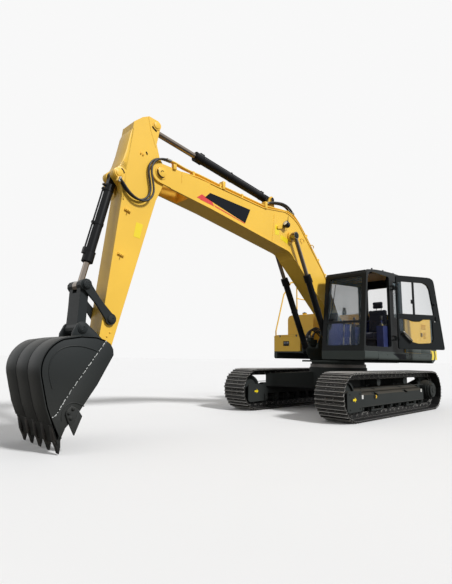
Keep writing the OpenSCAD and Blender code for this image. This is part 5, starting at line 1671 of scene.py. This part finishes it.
@dataclass
class Bucket:
    """The bucket's shell, three back panels, lip, teeth, cutters, ears and welds, with soft edges."""

    half: float = 0.58
    back: Flat = (0.5, 0.4)
    back_radius: float = 0.372
    wrap: float = 0.022
    panels: int = 3
    groove: float = 0.022
    skin: float = 0.009
    teeth: int = 5
    lip: Flat = (1.228, 0.096)
    link_pin: Flat = (-0.062, 0.425)

    def panel(self, number: int) -> float:
        """Gives where a back panel starts across the bucket."""
        return -self.half + number * (2 * self.half + self.groove) / self.panels

    def tooth_places(self) -> List[float]:
        """Gives the places of the teeth across the bucket."""
        first = 0.055 - self.half
        return [first - number * 2 * first / (self.teeth - 1) for number in range(self.teeth)]

    def line(self, out: float) -> List[Flat]:
        """Gives the wrapper's outer line, from the pins over the back to the lip.

        Args:
            out: how far the line is moved outwards.

        Returns:
            Its points.
        """
        turns = [math.radians(130 - 85 * number / 15) for number in range(16)]
        flat = [(0.008, 0.15), (0.004, 0.235), (0.03, 0.345), (0.075, 0.43), (0.125, 0.52)]
        flat += circle(self.back, self.back_radius, turns)
        flat += [(0.89, 0.543), (1.01, 0.425), (1.13, 0.275), (1.248, 0.126)]
        moved = []
        for number, here in enumerate(flat):
            before, after = flat[max(0, number - 1)], flat[min(len(flat) - 1, number + 1)]
            way = Vector((after[0] - before[0], after[1] - before[1])).normalized()
            moved.append((here[0] - way.y * out, here[1] + way.x * out))
        return moved

    def sheet(self, form: Form, start: int, end: int, inner: float, outer: float, low: float,
            high: float) -> None:
        """Adds a bent plate along part of the wrapper's line, between two offsets and two sides."""
        outline = self.line(outer)[start:end] + self.line(inner)[start:end][::-1]
        form.profile(outline, low, high - low, 0.003)

    def body(self) -> None:
        """Makes the piece that stands for the bucket's solid."""
        half, form = self.half, Form(Coat.BUCKET)
        self.sheet(form, 0, 25, -self.wrap, 0.0, -half, half)
        for number in range(self.panels):
            self.sheet(form, 4, 24, -0.002, self.skin, self.panel(number), self.panel(number + 1) - self.groove)
        mouth = [(1.228, 0.096), (1.1, 0.112), (1.0, 0.088), (0.86, 0.06), (0.514, 0.03), (0.105, 0.036),
            (0.045, 0.08)]
        weld = [(0.006, 0.218), (0.153, 0.234), (0.367, 0.252), (0.52, 0.266), (0.712, 0.284), (0.872, 0.288),
            (0.99, 0.288), (1.075, 0.318)]
        cutter = [(0.858, 0.194), (0.931, 0.217), (0.973, 0.207), (1.06, 0.095), (1.133, -0.017),
            (1.047, -0.005), (0.907, 0.014), (0.86, 0.101)]
        blade = [(0.872, 0.09), (0.907, 0.014), (1.047, -0.005), (1.133, -0.017), (1.07, 0.082), (1.0, 0.066)]
        ear = circle((0, 0), 0.092, [math.radians(a) for a in range(150, 361, 15)])
        ear += [(0.075, 0.12), (0.06, 0.33), (0.118, 0.47), (0.05, 0.505)]
        ear += circle(self.link_pin, 0.088, [math.radians(a) for a in range(75, 201, 12)])
        for side in SIDES:
            form.profile(self.line(0.0) + mouth, side * (half - 0.028), side * 0.028, 0.004)
            form.profile(weld + mouth + [(0.008, 0.15)], side * (half - 0.001), side * 0.013, 0.003)
            form.profile(cutter, side * (half + 0.011), side * 0.025, 0.008)
            form.profile(blade, side * (half + 0.03), side * 0.014, 0.006)
            form.profile(ear, side * 0.17, side * 0.05, 0.004)
            form.bar(Y, self.link_pin, (side * 0.218, side * 0.234), 0.066, sides=36, soft=0.003)
            form.bar(Y, (0.0, 0.0), (side * 0.218, side * 0.23), 0.078, sides=36, soft=0.003)
        form.bar(Y, self.link_pin, (-0.242, 0.242), 0.04, sides=36, soft=0.003)
        form.plate([(self.lip[0] + x, -half, self.lip[1] + z) for x,
            z in ((-0.19, 0.158), (-0.15, 0.195), (0.06, 0.0), (0.05, -0.018))], (0, 2 * half, 0), 0.005)
        form.use(Coat.TOOTH)
        for y in self.tooth_places():
            self.tooth(form, y)
        made = form.turned(BUCKET.matrix()).piece("bucket_body", "bucket", "bucket_black")
        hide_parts("bucket")

    def tooth(self, form: Form, y: float) -> None:
        """Adds one adapter with its tooth, which narrows to the tip.

        Args:
            form: the form that it is added to.
            y: the tooth's place across the bucket.
        """
        x0, z0 = self.lip
        adapter = [(-0.156, 0.191), (-0.06, 0.142), (0.04, 0.052), (0.03, -0.006), (-0.02, -0.022),
            (-0.09, 0.06)]
        form.plate([(x0 + x, y - 0.044, z0 + z) for x, z in adapter], (0, 0.088, 0), 0.008)
        shape = [(x0 - 0.02, z0 + 0.09), (x0 + 0.036, z0 + 0.058), (x0 + 0.095, z0 - 0.03), (1.368, 0.012),
            (1.366, 0.0), (x0 + 0.07, z0 - 0.066), (x0 + 0.02, z0 - 0.03), (x0 - 0.03, z0 - 0.002)]
        known = len(form.mesh.verts)
        form.profile(shape, y - 0.036, 0.072)
        form.mesh.verts.ensure_lookup_table()
        for vert in form.mesh.verts[known:]:
            share = min(1.0, max(0.0, (vert.co.x - x0) / 0.14))
            vert.co.y = y + (vert.co.y - y) * (1 - 0.45 * share)

    def trim(self) -> None:
        """Makes the weld beads, pressed curves, cutter bolts, pin ends, tooth pins, and near-black strips in
        the grooves between the back panels, which are painted shade.
        """
        half = self.half
        form = Form(Coat.WELD)
        bead = [(0.006, 0.219), (0.153, 0.235), (0.367, 0.253), (0.52, 0.267), (0.712, 0.285), (0.872, 0.289),
            (0.99, 0.289), (1.04, 0.296), (1.072, 0.318)]
        for number, (first, last) in enumerate(zip(map(Vector, bead), map(Vector, bead[1:]))):
            count = max(2, round((last - first).length / 0.042))
            for step in range(count):
                start = first.lerp(last, step / count)
                end = first.lerp(last, (step + 0.62 + 0.3 * math.sin(number * 5.1 + step * 2.3)) / count)
                lift = 0.0025 * math.sin(number * 3.7 + step * 1.9)
                form.hose([(start.x, half + 0.012, start.y + lift), (end.x, half + 0.0135, end.y + lift)],
                    0.0055, 8)
        form.mirrored().turned(BUCKET.matrix()).piece("bucket_welds", "bucket", "bucket_black")
        form = Form(Coat.BUCKET)
        form.hose([(x, half + 0.001, z) for x, z in ((0.174, 0.254), (0.197, 0.397), (0.267, 0.541),
            (0.348, 0.633), (0.436, 0.681), (0.537, 0.683), (0.62, 0.657), (0.724, 0.582), (0.8, 0.487))],
            0.008, 8)
        form.hose([(x, half + 0.013, z) for x,
            z in ((0.8, 0.045), (0.8, 0.18), (0.87, 0.258), (0.98, 0.258), (1.05, 0.2))], 0.007, 8)
        for x, z in ((0.885, 0.16), (0.945, 0.18), (0.985, 0.128)):
            form.bar(Y, (x, z), (half + 0.034, half + 0.042), 0.024, sides=24)
            form.bolt((x, half + 0.041, z), (0, 1, 0), 0.015)
        for (x, z), y in ((self.link_pin, 0.24), ((0.0, 0.0), 0.229)):
            form.bar(Y, (x, z), (y, y + 0.006), 0.05, sides=28, soft=0.002)
            for shift in (0.026, -0.026):
                form.bolt((x + shift, y + 0.006, z), (0, 1, 0), 0.008)
        form.mirrored()
        for y in self.tooth_places():
            form.bar(Y, (1.258, 0.112), (y - 0.041, y + 0.041), 0.012, sides=12)
            form.block((1.14, y - 0.045, 0.246), (1.15, y + 0.045, 0.262), 0.004)
        # Near-black strips in the grooves between the back panels: painted shade.
        form.use(Coat.DARK)
        for number in range(1, self.panels):
            y = self.panel(number) - self.groove / 2
            self.sheet(form, 4, 24, -0.001, 0.006, y - 0.01, y + 0.01)
        form.turned(BUCKET.matrix()).piece("bucket_trim", "bucket", "bucket_black")

    def build(self) -> None:
        """Builds the bucket's body and its trim."""
        self.body()
        self.trim()


@dataclass
class FrontEnd:
    """Signs, pins, hoses, welds and bolts of boom, arm, bucket and cylinders."""

    web: float = 0.186
    flange: float = 0.2
    arm_face: float = 0.165
    boom_foot: Flat = (0.83, 1.33)
    boom_eye: Flat = (2.522, 1.035)
    arm_foot: Flat = (3.254, 1.482)
    arm_eye: Flat = (-0.715, 0.303)
    bucket_foot: Flat = (0.413, 0.622)
    bucket_eye: Flat = (-0.575, 0.696)
    pipe_y: Tuple[float, ...] = (-0.168, -0.13, 0.13, 0.168)
    loop_y: Tuple[float, ...] = (0.205, 0.247)

    def boom_signs(self) -> None:
        """Makes the plain black and red panel on each side of the boom, and the blank labels near its knee."""
        for name, coat, face, depth, outlines in (
                ("boom_panel_black", Coat.DECAL, self.web, 0.003,
                    (((4.795, 0.249), (4.734, 0.399), (3.772, 0.78), (3.782, 0.452)),)),
                ("boom_panel_red", Coat.RED, self.web, 0.003,
                    (((4.876, 0.138), (4.862, 0.245), (4.812, 0.262), (4.77, 0.262), (4.64, 0.292),
                    (4.553, 0.238)),)),
                ("boom_panel_tip", Coat.RED, self.flange, 0.003,
                    (((4.95, 0.115), (4.885, 0.236), (4.85, 0.249), (4.867, 0.141)),)),
                ("boom_panel_strip", Coat.RED, self.web, 0.003,
                    (((4.56, 0.262), (4.527, 0.247), (3.79, 0.432), (3.788, 0.448), (3.815, 0.44)),)),
                ("boom_labels", Coat.SIGN, self.web, 0.0025,
                    (((3.043, 0.976), (2.914, 1.03), (2.852, 0.83), (2.972, 0.78)),
                    ((2.813, 0.885), (2.56, 0.94), (2.545, 0.832), (2.791, 0.79))))):
            form = Form(coat)
            for outline in outlines:
                form.profile(outline, face - 0.001, depth)
            form.mirrored().turned(BOOM.matrix()).piece(name, "boom", "boom_yellow")

    def boom_trim(self) -> None:
        """Makes the welds, hooks, pipe clips and pin ends of the boom, with painted shadow round the tip pin's
        caps.
        """
        form = Form(Coat.YELLOW)
        web = self.web
        form.hose([(2.99, web + 0.001, 0.61), (3.07, web + 0.001, 0.88), (3.146, web + 0.001, 1.155)], 0.008, 8)
        form.hose([(5.31, 0.201, 0.13), (5.345, 0.201, 0.21), (5.385, 0.201, 0.3)], 0.006, 8)
        form.hose([(0.9, web, 0.33), (0.87, web + 0.001, 0.5), (0.8, web, 0.7)], 0.007, 8)
        for x, z in ((2.212, 1.2), (1.853, 1.283)):
            form.hose([(x, web - 0.004, z), (x, web + 0.045, z), (x - 0.03, web + 0.06, z),
                (x - 0.07, web + 0.06, z - 0.01), (x - 0.085, web + 0.04, z - 0.03)], 0.009, 8)
        for x, z in ((1.62, 1.165), (0.93, 0.85)):
            form.block((x - 0.02, web - 0.09, z - 0.01), (x + 0.02, web - 0.06, z + 0.1), 0.006)
        form.mirrored().turned(BOOM.matrix()).piece("boom_trim", "boom", "boom_yellow")
        form = Form(Coat.YELLOW)
        knee = ((3.479, 1.072), 0.3806, (0.432, 1.135), 0.16, 0.052)
        tip = ((5.38, 0.31), 0.53, (0.17, 0.32), 0.202, 0.03)
        for at, height, (corner, slope, rise, way, wide) in ((5.531, 0.085, tip), (4.515, 0.125, knee),
                (3.425, 0.125, knee)):
            lean = math.atan2(*rise)
            foot = corner[1] - (at - corner[0]) * slope
            x, z = at + math.sin(lean) * height / 2, foot + math.cos(lean) * height / 2
            half = Vector((0.032, wide, height / 2 + 0.012))
            for side in SIDES:
                middle = Vector((x, side * way, z))
                form.block(middle - half, middle + half, 0.006, 2, Matrix.Rotation(lean, 4, "Y"))
        form.turned(BOOM.matrix()).piece("boom_clips", "boom", "boom_yellow")
        form = Form(Coat.YELLOW)
        tip = (BOOM_LENGTH, 0.0)
        form.cap(tip, 0.222, 0.012, 0.078, sides=32, soft=0.004)
        form.cap(self.arm_foot, 0.1, 0.012, 0.052, sides=32, soft=0.004)
        # Dark arcs round the tip pin's cap and on it: painted shadow of the cap's rim and of its retainer.
        form.use(Coat.DARK)
        form.hose([(x, 0.2335, z) for x, z in circle(tip, 0.088, (0.2, -0.4, -1.0, -1.6, -2.2))], 0.008, 8)
        form.hose([(x, 0.236, z) for x, z in circle(tip, 0.03, (2.2, 1.2, 0.2, -0.8))], 0.005, 8)
        form.mirrored().turned(BOOM.matrix()).piece("boom_tip_pins", "boom", "boom_yellow")
        form = Form(Coat.FRAME)
        form.cap(self.boom_eye, 0.345, 0.01, 0.062, [number * THIRD + 0.5 for number in range(3)], 0.62,
            sides=32, soft=0.003)
        form.hose([(2.522, 0.352, 1.035), (2.47, 0.352, 1.09), (2.41, 0.3, 1.11), (2.37, 0.23, 1.08),
            (2.3, web + 0.01, 1.06)], 0.006, 8)
        form.mirrored().turned(BOOM.matrix()).piece("boom_pin_ends", "boom", "boom_yellow")

    def lamp(self) -> None:
        """Makes the working lamp's lens, ring, bracket bolts and cord."""
        form = Form(Coat.BLACK)
        x, y, z = 2.81, 0.276, 1.12
        form.bar(X, (y, z), (x + 0.05, x + 0.058), 0.064, 0.06, sides=32, soft=0.002)
        form.use(Coat.LENS).bar(X, (y, z), (x + 0.052, x + 0.061), 0.053, 0.046, sides=32)
        form.use(Coat.ZINC).bolt((x + 0.01, y - 0.062, z - 0.056), (0, 1, 0), 0.008)
        form.use(Coat.RUBBER).hose([(x - 0.058, y, z), (x - 0.095, y, z + 0.01),
            (x - 0.11, y - 0.03, z + 0.06), (x - 0.09, y - 0.07, z + 0.13), (x - 0.06, y - 0.088, z + 0.23),
            (x - 0.05, y - 0.092, z + 0.3)], 0.005, 8)
        form.turned(BOOM.matrix()).piece("lamp_trim", "boom", "lamp_black")

    def knee_hoses(self) -> None:
        """Makes the pipes along the boom's back, and the hoses between them and the deck."""
        form = Form(Coat.YELLOW)
        back = [(2.66, 1.572), (2.48, 1.548), (2.3, 1.5), (2.05, 1.4), (1.75, 1.27), (1.45, 1.145),
            (1.18, 1.035), (1.0, 0.92)]
        for y in self.pipe_y:
            form.hose([(x, y, z) for x, z in back], 0.015, 12)
        for x, z in ((2.05, 1.372), (1.45, 1.118), (1.08, 0.95)):
            turn = Matrix.Rotation(-math.radians(24), 4, "Y")
            for low, high in ((-0.192, -0.106), (0.106, 0.192)):
                form.block((x - 0.022, low, z - 0.022), (x + 0.022, high, z + 0.062), 0.004, 2, turn)
        form.turned(BOOM.matrix()).piece("back_pipes", "boom", "rail_yellow")
        form = Form(Coat.RUBBER)
        foot = [(1.0, 0.92), (0.85, 0.815), (0.7, 0.69), (0.4, 0.465), (0.18, 0.32)]
        for y in self.pipe_y:
            form.hose([BOOM.point(x, y, z) for x, z in foot] + [Vector((-0.06, y, 1.985)),
                Vector((-0.2, y, 1.86)), Vector((-0.245, y, 1.65)), Vector((-0.235, y, 1.45)),
                Vector((-0.225, y, 1.29))], 0.017, 12)
        made = form.piece("foot_hoses", "", "cylinder_black")
        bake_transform(made)
        form = Form(Coat.RUBBER)
        bow = [(3.4, 1.25), (3.3, 1.345), (3.16, 1.45), (3.01, 1.545), (2.88, 1.594), (2.76, 1.6),
            (2.67, 1.58), (2.6, 1.566)]
        for number, y in enumerate((-0.168, -0.12, 0.12, 0.168)):
            lift = 0.012 * (number % 2)
            form.hose([(x, y, z + lift) for x, z in bow], 0.021, 12)
        form.turned(BOOM.matrix()).piece("knee_hoses", "boom", "cylinder_black")
        form = Form(Coat.ZINC)
        for y in self.pipe_y:
            form.drum((3.44, y, 1.222), (3.38, y, 1.272), 0.025, sides=6)
            form.drum((1.03, y, 0.94), (0.985, y, 0.91), 0.022, sides=6)
            form.drum((2.62, y, 1.566), (2.69, y, 1.58), 0.024, sides=6)
        form.turned(BOOM.matrix()).piece("knee_fittings", "boom", "rail_yellow")

    def loop_hoses(self) -> None:
        """Makes the pipes at the boom's tip and the hoses that hang in a bow from them to the arm's front."""
        form = Form(Coat.YELLOW)
        line = ((5.06, 0.535), (5.2, 0.476), (5.34, 0.416), (5.48, 0.358), (5.6, 0.302), (5.7, 0.254))
        for side in SIDES:
            for spread in ((0.13, 0.13, 0.136, 0.166, 0.2, 0.205), (0.168, 0.168, 0.176, 0.208, 0.242, 0.247)):
                form.hose([(x, side * y, z) for (x, z), y in zip(line, spread)], 0.016, 12)
        form.turned(BOOM.matrix()).piece("tip_pipes", "boom", "boom_yellow")
        form = Form(Coat.RUBBER)
        bow = ((5.695, 0.256), (5.77, 0.222), (5.85, 0.165), (5.915, 0.075), (5.932, -0.03), (5.905, -0.125),
            (5.845, -0.215), (5.775, -0.305), (5.722, -0.4), (5.718, -0.51), (5.765, -0.615), (5.86, -0.68),
            (5.985, -0.69), (6.09, -0.65), (6.175, -0.605), (6.222, -0.592))
        for side in SIDES:
            for y, drift in zip(self.loop_y, (0.0, 0.038)):
                form.hose([BOOM.point(x - drift * math.sin(math.pi * n / 15),
                    side * (y - (0.02 if n > 12 else 0.0)), z - drift * 0.3 * math.sin(math.pi * n / 15))
                    for n, (x, z) in enumerate(bow)], 0.0165, 12)
        made = form.piece("loop_hoses", "", "cylinder_black")
        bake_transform(made)
        form = Form(Coat.ZINC)
        for side in SIDES:
            for y in self.loop_y:
                form.drum((5.655, side * y, 0.274), (5.735, side * y, 0.24), 0.0225, sides=6)
        form.turned(BOOM.matrix()).piece("loop_fittings", "boom", "rail_yellow")

    def arm_trim(self) -> None:
        """Makes the arm's blank label, clips, ears, top plate, fittings and pin ends, and dark strokes of
        painted shade beside the pins.
        """
        y = self.arm_face
        form = Form(Coat.SIGN)
        form.profile(((0.96, 0.125), (1.188, 0.096), (1.172, -0.012), (0.942, 0.004)), y - 0.001, 0.0025)
        form.mirrored().turned(ARM.matrix()).piece("arm_labels", "arm", "boom_yellow")
        form = Form(Coat.YELLOW)
        for x, z in ((0.872, 0.262), (1.54, 0.146)):
            for lift in (0.024, 0.08):
                form.bolt((x, y + 0.026, z + lift), (0, 1, 0), 0.008)
            form.hose([(x, y + 0.02, z + 0.052), (x, y + 0.055, z + 0.052), (x + 0.03, y + 0.055, z + 0.052)],
                0.007, 8)
        form.block((-0.13, y - 0.002, 0.392), (-0.086, y + 0.02, 0.412), 0.003)
        form.block((-0.13, y - 0.002, 0.352), (-0.086, y + 0.02, 0.372), 0.003)
        form.mirrored().turned(ARM.matrix()).piece("arm_trim", "arm", "boom_yellow")
        form = Form(Coat.YELLOW)
        form.profile(((-0.42, 0.648), (-0.3, 0.658), (0.0, 0.634), (0.2, 0.632), (0.3, 0.642), (0.3, 0.525),
            (0.0, 0.57), (-0.4, 0.63)), -y, 2 * y, 0.004)
        ear = circle(self.bucket_foot, 0.085, [math.radians(140 - 15 * number) for number in range(9)])
        ear = [(0.18, 0.56), (0.2, 0.632), (0.3, 0.644)] + ear + [(0.53, 0.548), (0.62, 0.498), (0.76, 0.44),
            (0.76, 0.41)]
        for side in SIDES:
            form.profile(ear, side * 0.084, side * (y - 0.084), 0.003)
            for place, near, far, radius in ((self.bucket_foot, y, y + 0.014, 0.074),
                    (self.bucket_foot, y + 0.012, y + 0.024, 0.048), (self.arm_eye, 0.177, 0.186, 0.056)):
                form.bar(Y, place, (side * near, side * far), radius, sides=36, soft=0.004)
            form.block((0.48, side * 0.186 - 0.022, 0.56), (0.56, side * 0.186 + 0.022, 0.63), 0.006)
            form.profile(((-0.745, 0.478), (-0.56, 0.368), (-0.35, 0.2), (-0.455, 0.215), (-0.62, 0.235)),
                side * (y - 0.002), side * 0.006)
            for x, z in ((2.635, -0.013), (2.7, 0.012)):
                form.bolt((x, side * y, z), (0, side, 0), 0.012)
        # Dark strokes on both sides of the arm: painted shade of the slots and gaps beside its pins.
        form.use(Coat.DARK)
        for side in SIDES:
            form.hose([(-0.645, side * 0.17, 0.372), (-0.62, side * 0.173, 0.335),
                (-0.618, side * 0.17, 0.275)], 0.01, 8)
            form.hose([(0.325, side * 0.17, 0.61), (0.33, side * 0.173, 0.575), (0.365, side * 0.17, 0.545)],
                0.009, 8)
            form.hose([(-0.18, side * 0.168, 0.33), (-0.15, side * 0.17, 0.3)], 0.01, 8)
        form.turned(ARM.matrix()).piece("arm_fairings", "arm", "boom_yellow")
        form = Form(Coat.ZINC)
        for side in SIDES:
            for shift in (-0.02, 0.022):
                form.bar(Y, (0.52 + shift, 0.597), (side * 0.207, side * 0.228), 0.021, sides=6)
        form.turned(ARM.matrix()).piece("arm_fittings", "arm", "boom_yellow")
        form = Form(Coat.FRAME)
        for place, out, radius in (((ARM_LENGTH, 0.0), 0.241, 0.056), ((2.468, 0.053), 0.218, 0.052),
                (self.bucket_foot, 0.094, 0.048)):
            form.cap(place, out, 0.009, radius, (0.6, math.pi + 0.6), 0.55, sides=28, soft=0.003)
        form.mirrored().turned(ARM.matrix()).piece("arm_pin_ends", "arm", "boom_yellow")

    def bucket_trim(self) -> None:
        """Makes the bolted ends of the rocker's upper pin."""
        form = Form(Coat.BUCKET)
        form.bar(Y, self.bucket_eye, (0.231, 0.24), 0.052, sides=28, soft=0.002)
        for x, z in circle(self.bucket_eye, 0.034, [number * SIXTH for number in range(6)]):
            form.bolt((x, 0.239, z), (0, 1, 0), 0.006)
        form.mirrored().turned(BUCKET.matrix()).piece("rocker_pin_ends", "rocker", "bucket_black")

    def cylinder_trim(self) -> None:
        """Makes the gland bolts, bands, ports and grease nipples of every cylinder."""
        for name, (foot, foot_pin), (head, head_pin), across, radius, bare, begin in (
                ("boom_barrels", (Plane(0, 0, 0), self.boom_foot), (BOOM, self.boom_eye), (-0.302, 0.302),
                    0.066, 0.877, 0.12),
                ("arm_barrel", (BOOM, self.arm_foot), (ARM, self.arm_eye), (0.0,), 0.076, 0.939, 0.17),
                ("bucket_barrel", (ARM, self.bucket_foot), (BUCKET, self.bucket_eye), (0.0,), 0.066, 0.356,
                    0.175)):
            start, end = foot.point(foot_pin[0], 0, foot_pin[1]), head.point(head_pin[0], 0, head_pin[1])
            way = end - start
            length = way.length - bare
            here = Matrix.Translation(start) @ Matrix.Rotation(-math.atan2(way.z, way.x), 4, "Y")
            form = Form(Coat.BLACK)
            for y in across:
                form.bar(X, (y, 0), (length - 0.004, length + 0.008), radius * 0.9, radius * 0.78, sides=40)
                for spot in circle((y, 0), radius - 0.004, equal_turns(8, 0.5)):
                    form.bar(X, spot, (length - 0.001, length + 0.01), 0.008, sides=6)
                form.bar(X, (y, 0), (begin - 0.01, begin + 0.006), radius * 1.04, sides=40)
                form.bar(Z, (begin + 0.02, y), (radius - 0.01, radius + 0.04), 0.02, sides=16)
                form.bar(X, (y, 0), (length - 0.152, length - 0.146), radius + 0.017, sides=40)
            form.use(Coat.ZINC)
            for y in across:
                form.bar(Z, (begin + 0.02, y), (radius + 0.034, radius + 0.052), 0.017, sides=6)
                form.ball((0.0, y + 0.052 * (1 if y >= 0 else -1), -0.052 if name == "arm_barrel" else 0.052),
                    0.006)
            form.turned(here).piece(name + "_trim", name, "cylinder_black")

    def build(self) -> None:
        """Builds the front end's trim in order."""
        self.boom_signs()
        self.boom_trim()
        self.lamp()
        self.knee_hoses()
        self.loop_hoses()
        self.arm_trim()
        self.bucket_trim()
        Bucket().build()
        self.cylinder_trim()


@dataclass
class Studio:
    """Camera at the photograph's stand, pale floor, soft lamps and a pale background."""

    place: Spot = (8.932, 5.397, 1.11)
    yaw: float = math.degrees(3.9455)
    pitch: float = 9.028
    roll: float = 1.028
    focal_px: float = 418.44
    frame_px: Tuple[int, int] = (452, 584)
    floor_size: float = 400.0
    pale: Colour = (0.86, 0.86, 0.86)
    dim: Colour = (0.13, 0.12, 0.105)
    dome: float = 0.42
    shown: float = 0.94

    def camera(self) -> None:
        """Makes the camera: a low stand ahead and to the left of the machine, looking a little up."""
        data = bpy.data.cameras.new("camera")
        data.sensor_width = 36.0
        data.lens = self.focal_px / max(self.frame_px) * data.sensor_width
        data.clip_end = 1000
        made = added("camera", data)
        yaw, pitch, roll = (math.radians(a) for a in (self.yaw, self.pitch, self.roll))
        look = Vector((math.cos(yaw) * math.cos(pitch), math.sin(yaw) * math.cos(pitch), math.sin(pitch)))
        flat_right = Vector((math.sin(yaw), -math.cos(yaw), 0))
        flat_up = flat_right.cross(look)
        right = flat_right * math.cos(roll) + flat_up * math.sin(roll)
        up = flat_up * math.cos(roll) - flat_right * math.sin(roll)
        made.matrix_world = Matrix.Translation(self.place) @ Matrix((right, up, -look)).transposed().to_4x4()
        bpy.context.scene.camera = made

    def floor(self) -> None:
        """Makes the floor, which the camera sees as pale as the background."""
        mesh = bmesh.new()
        bmesh.ops.create_grid(mesh, x_segments=1, y_segments=1, size=self.floor_size)
        data = bpy.data.meshes.new("studio_floor")
        mesh.to_mesh(data)
        mesh.free()
        shader = Shader("studio_floor")
        cloud = shader.noise(shader.place(), 0.4, 3)
        seen = shader.node("ShaderNodeLightPath", {}, {}, "Is Camera Ray")
        pale = shader.blend(cloud, shaded(self.pale, 0.97), self.pale)
        shade = shader.blend(seen, self.dim, pale)
        shader.set(Base_Color=shade, Roughness=0.9)
        data.materials.append(shader.material)
        made = added("studio_floor", data)

    def lamps(self) -> None:
        """Makes the key lamp on the machine's left, and a weaker one from ahead."""
        for name, aim, power, width in (("key", (0.12, -0.85, -0.72), 2.9, 8),
                ("fill", (-0.85, 0.25, -0.45), 0.25, 40)):
            data = bpy.data.lights.new(name, "SUN")
            data.energy = power
            data.angle = math.radians(width)
            made = added(name, data)
            made.rotation_mode = "QUATERNION"
            made.rotation_quaternion = Vector(aim).to_track_quat("-Z", "Y")

    def sky(self) -> None:
        """Makes the world: soft grey light, and white where the camera or a reflection sees it."""
        world = bpy.data.worlds.new("studio")
        world.use_nodes = True
        tree = world.node_tree
        tree.nodes.clear()
        output = tree.nodes.new("ShaderNodeOutputWorld")
        rays = tree.nodes.new("ShaderNodeLightPath")
        seen = rays.outputs["Is Camera Ray"]
        for ray in ("Is Transmission Ray", "Is Glossy Ray"):
            either = tree.nodes.new("ShaderNodeMath")
            either.operation = "MAXIMUM"
            tree.links.new(seen, either.inputs[0])
            tree.links.new(rays.outputs[ray], either.inputs[1])
            seen = either.outputs[0]
        mix = tree.nodes.new("ShaderNodeMixShader")
        for slot, strength in ((1, self.dome), (2, self.shown)):
            light = tree.nodes.new("ShaderNodeBackground")
            light.inputs["Color"].default_value = (1, 1, 1, 1)
            light.inputs["Strength"].default_value = strength
            tree.links.new(light.outputs[0], mix.inputs[slot])
        tree.links.new(seen, mix.inputs[0])
        tree.links.new(mix.outputs[0], output.inputs[0])
        bpy.context.scene.world = world

    def build(self) -> None:
        """Sets the whole studio up."""
        bpy.context.scene.view_settings.view_transform = "Standard"
        self.camera()
        self.floor()
        self.lamps()
        self.sky()


@dataclass
class Dress:
    """The finish of every solid that stays in view."""

    coats: Dict[Coat, Tuple[str, ...]] = field(default_factory=lambda: {Coat.FRAME: ("carbody", "track_frames",
        "sprockets", "idlers", "track_rollers"), Coat.TRACK: ("tracks",), Coat.RING: ("slew_ring",),
        Coat.CHARCOAL: ("cab_shell", "cab_door"), Coat.SKIRT: ("deck", "counterweight"),
        Coat.YELLOW: ("house", "hood", "left_door", "right_door", "hydraulic_tank", "fuel_tank", "toolbox",
        "toolbox_lid", "handrails", "boom", "arm", "boom_pipes", "arm_pipes"), Coat.ENGINE: ("engine",),
        Coat.CORE: ("radiator",), Coat.EXHAUST: ("muffler",), Coat.GLASS: ("cab_glass", "door_glass"),
        Coat.MAT: ("cab_floor",), Coat.CLOTH: ("seat",), Coat.TRIM: ("consoles",), Coat.RUBBER: ("boom_lamp",),
        Coat.BUCKET: ("rocker", "h_link"), Coat.BLACK: ("boom_barrels", "arm_barrel", "bucket_barrel"),
        Coat.CHROME: ("boom_rods", "arm_rod", "bucket_rod"),})

    def build(self) -> None:
        """Puts each finish on its solids."""
        for coat, nodes in self.coats.items():
            for name in nodes:
                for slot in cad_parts[name].material_slots:
                    slot.material = coat.material()
        log.info("dressed %d solids", sum(len(nodes) for nodes in self.coats.values()))


def main() -> None:
    """Builds the studio and every sub-assembly in order."""
    logging.basicConfig(level=logging.INFO, format="%(message)s")
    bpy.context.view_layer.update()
    Studio().build()
    Dress().build()
    Trackwork().build()
    UpperWorks().build()
    Cab().build()
    FrontEnd().build()


if __name__ == "__main__":
    main()
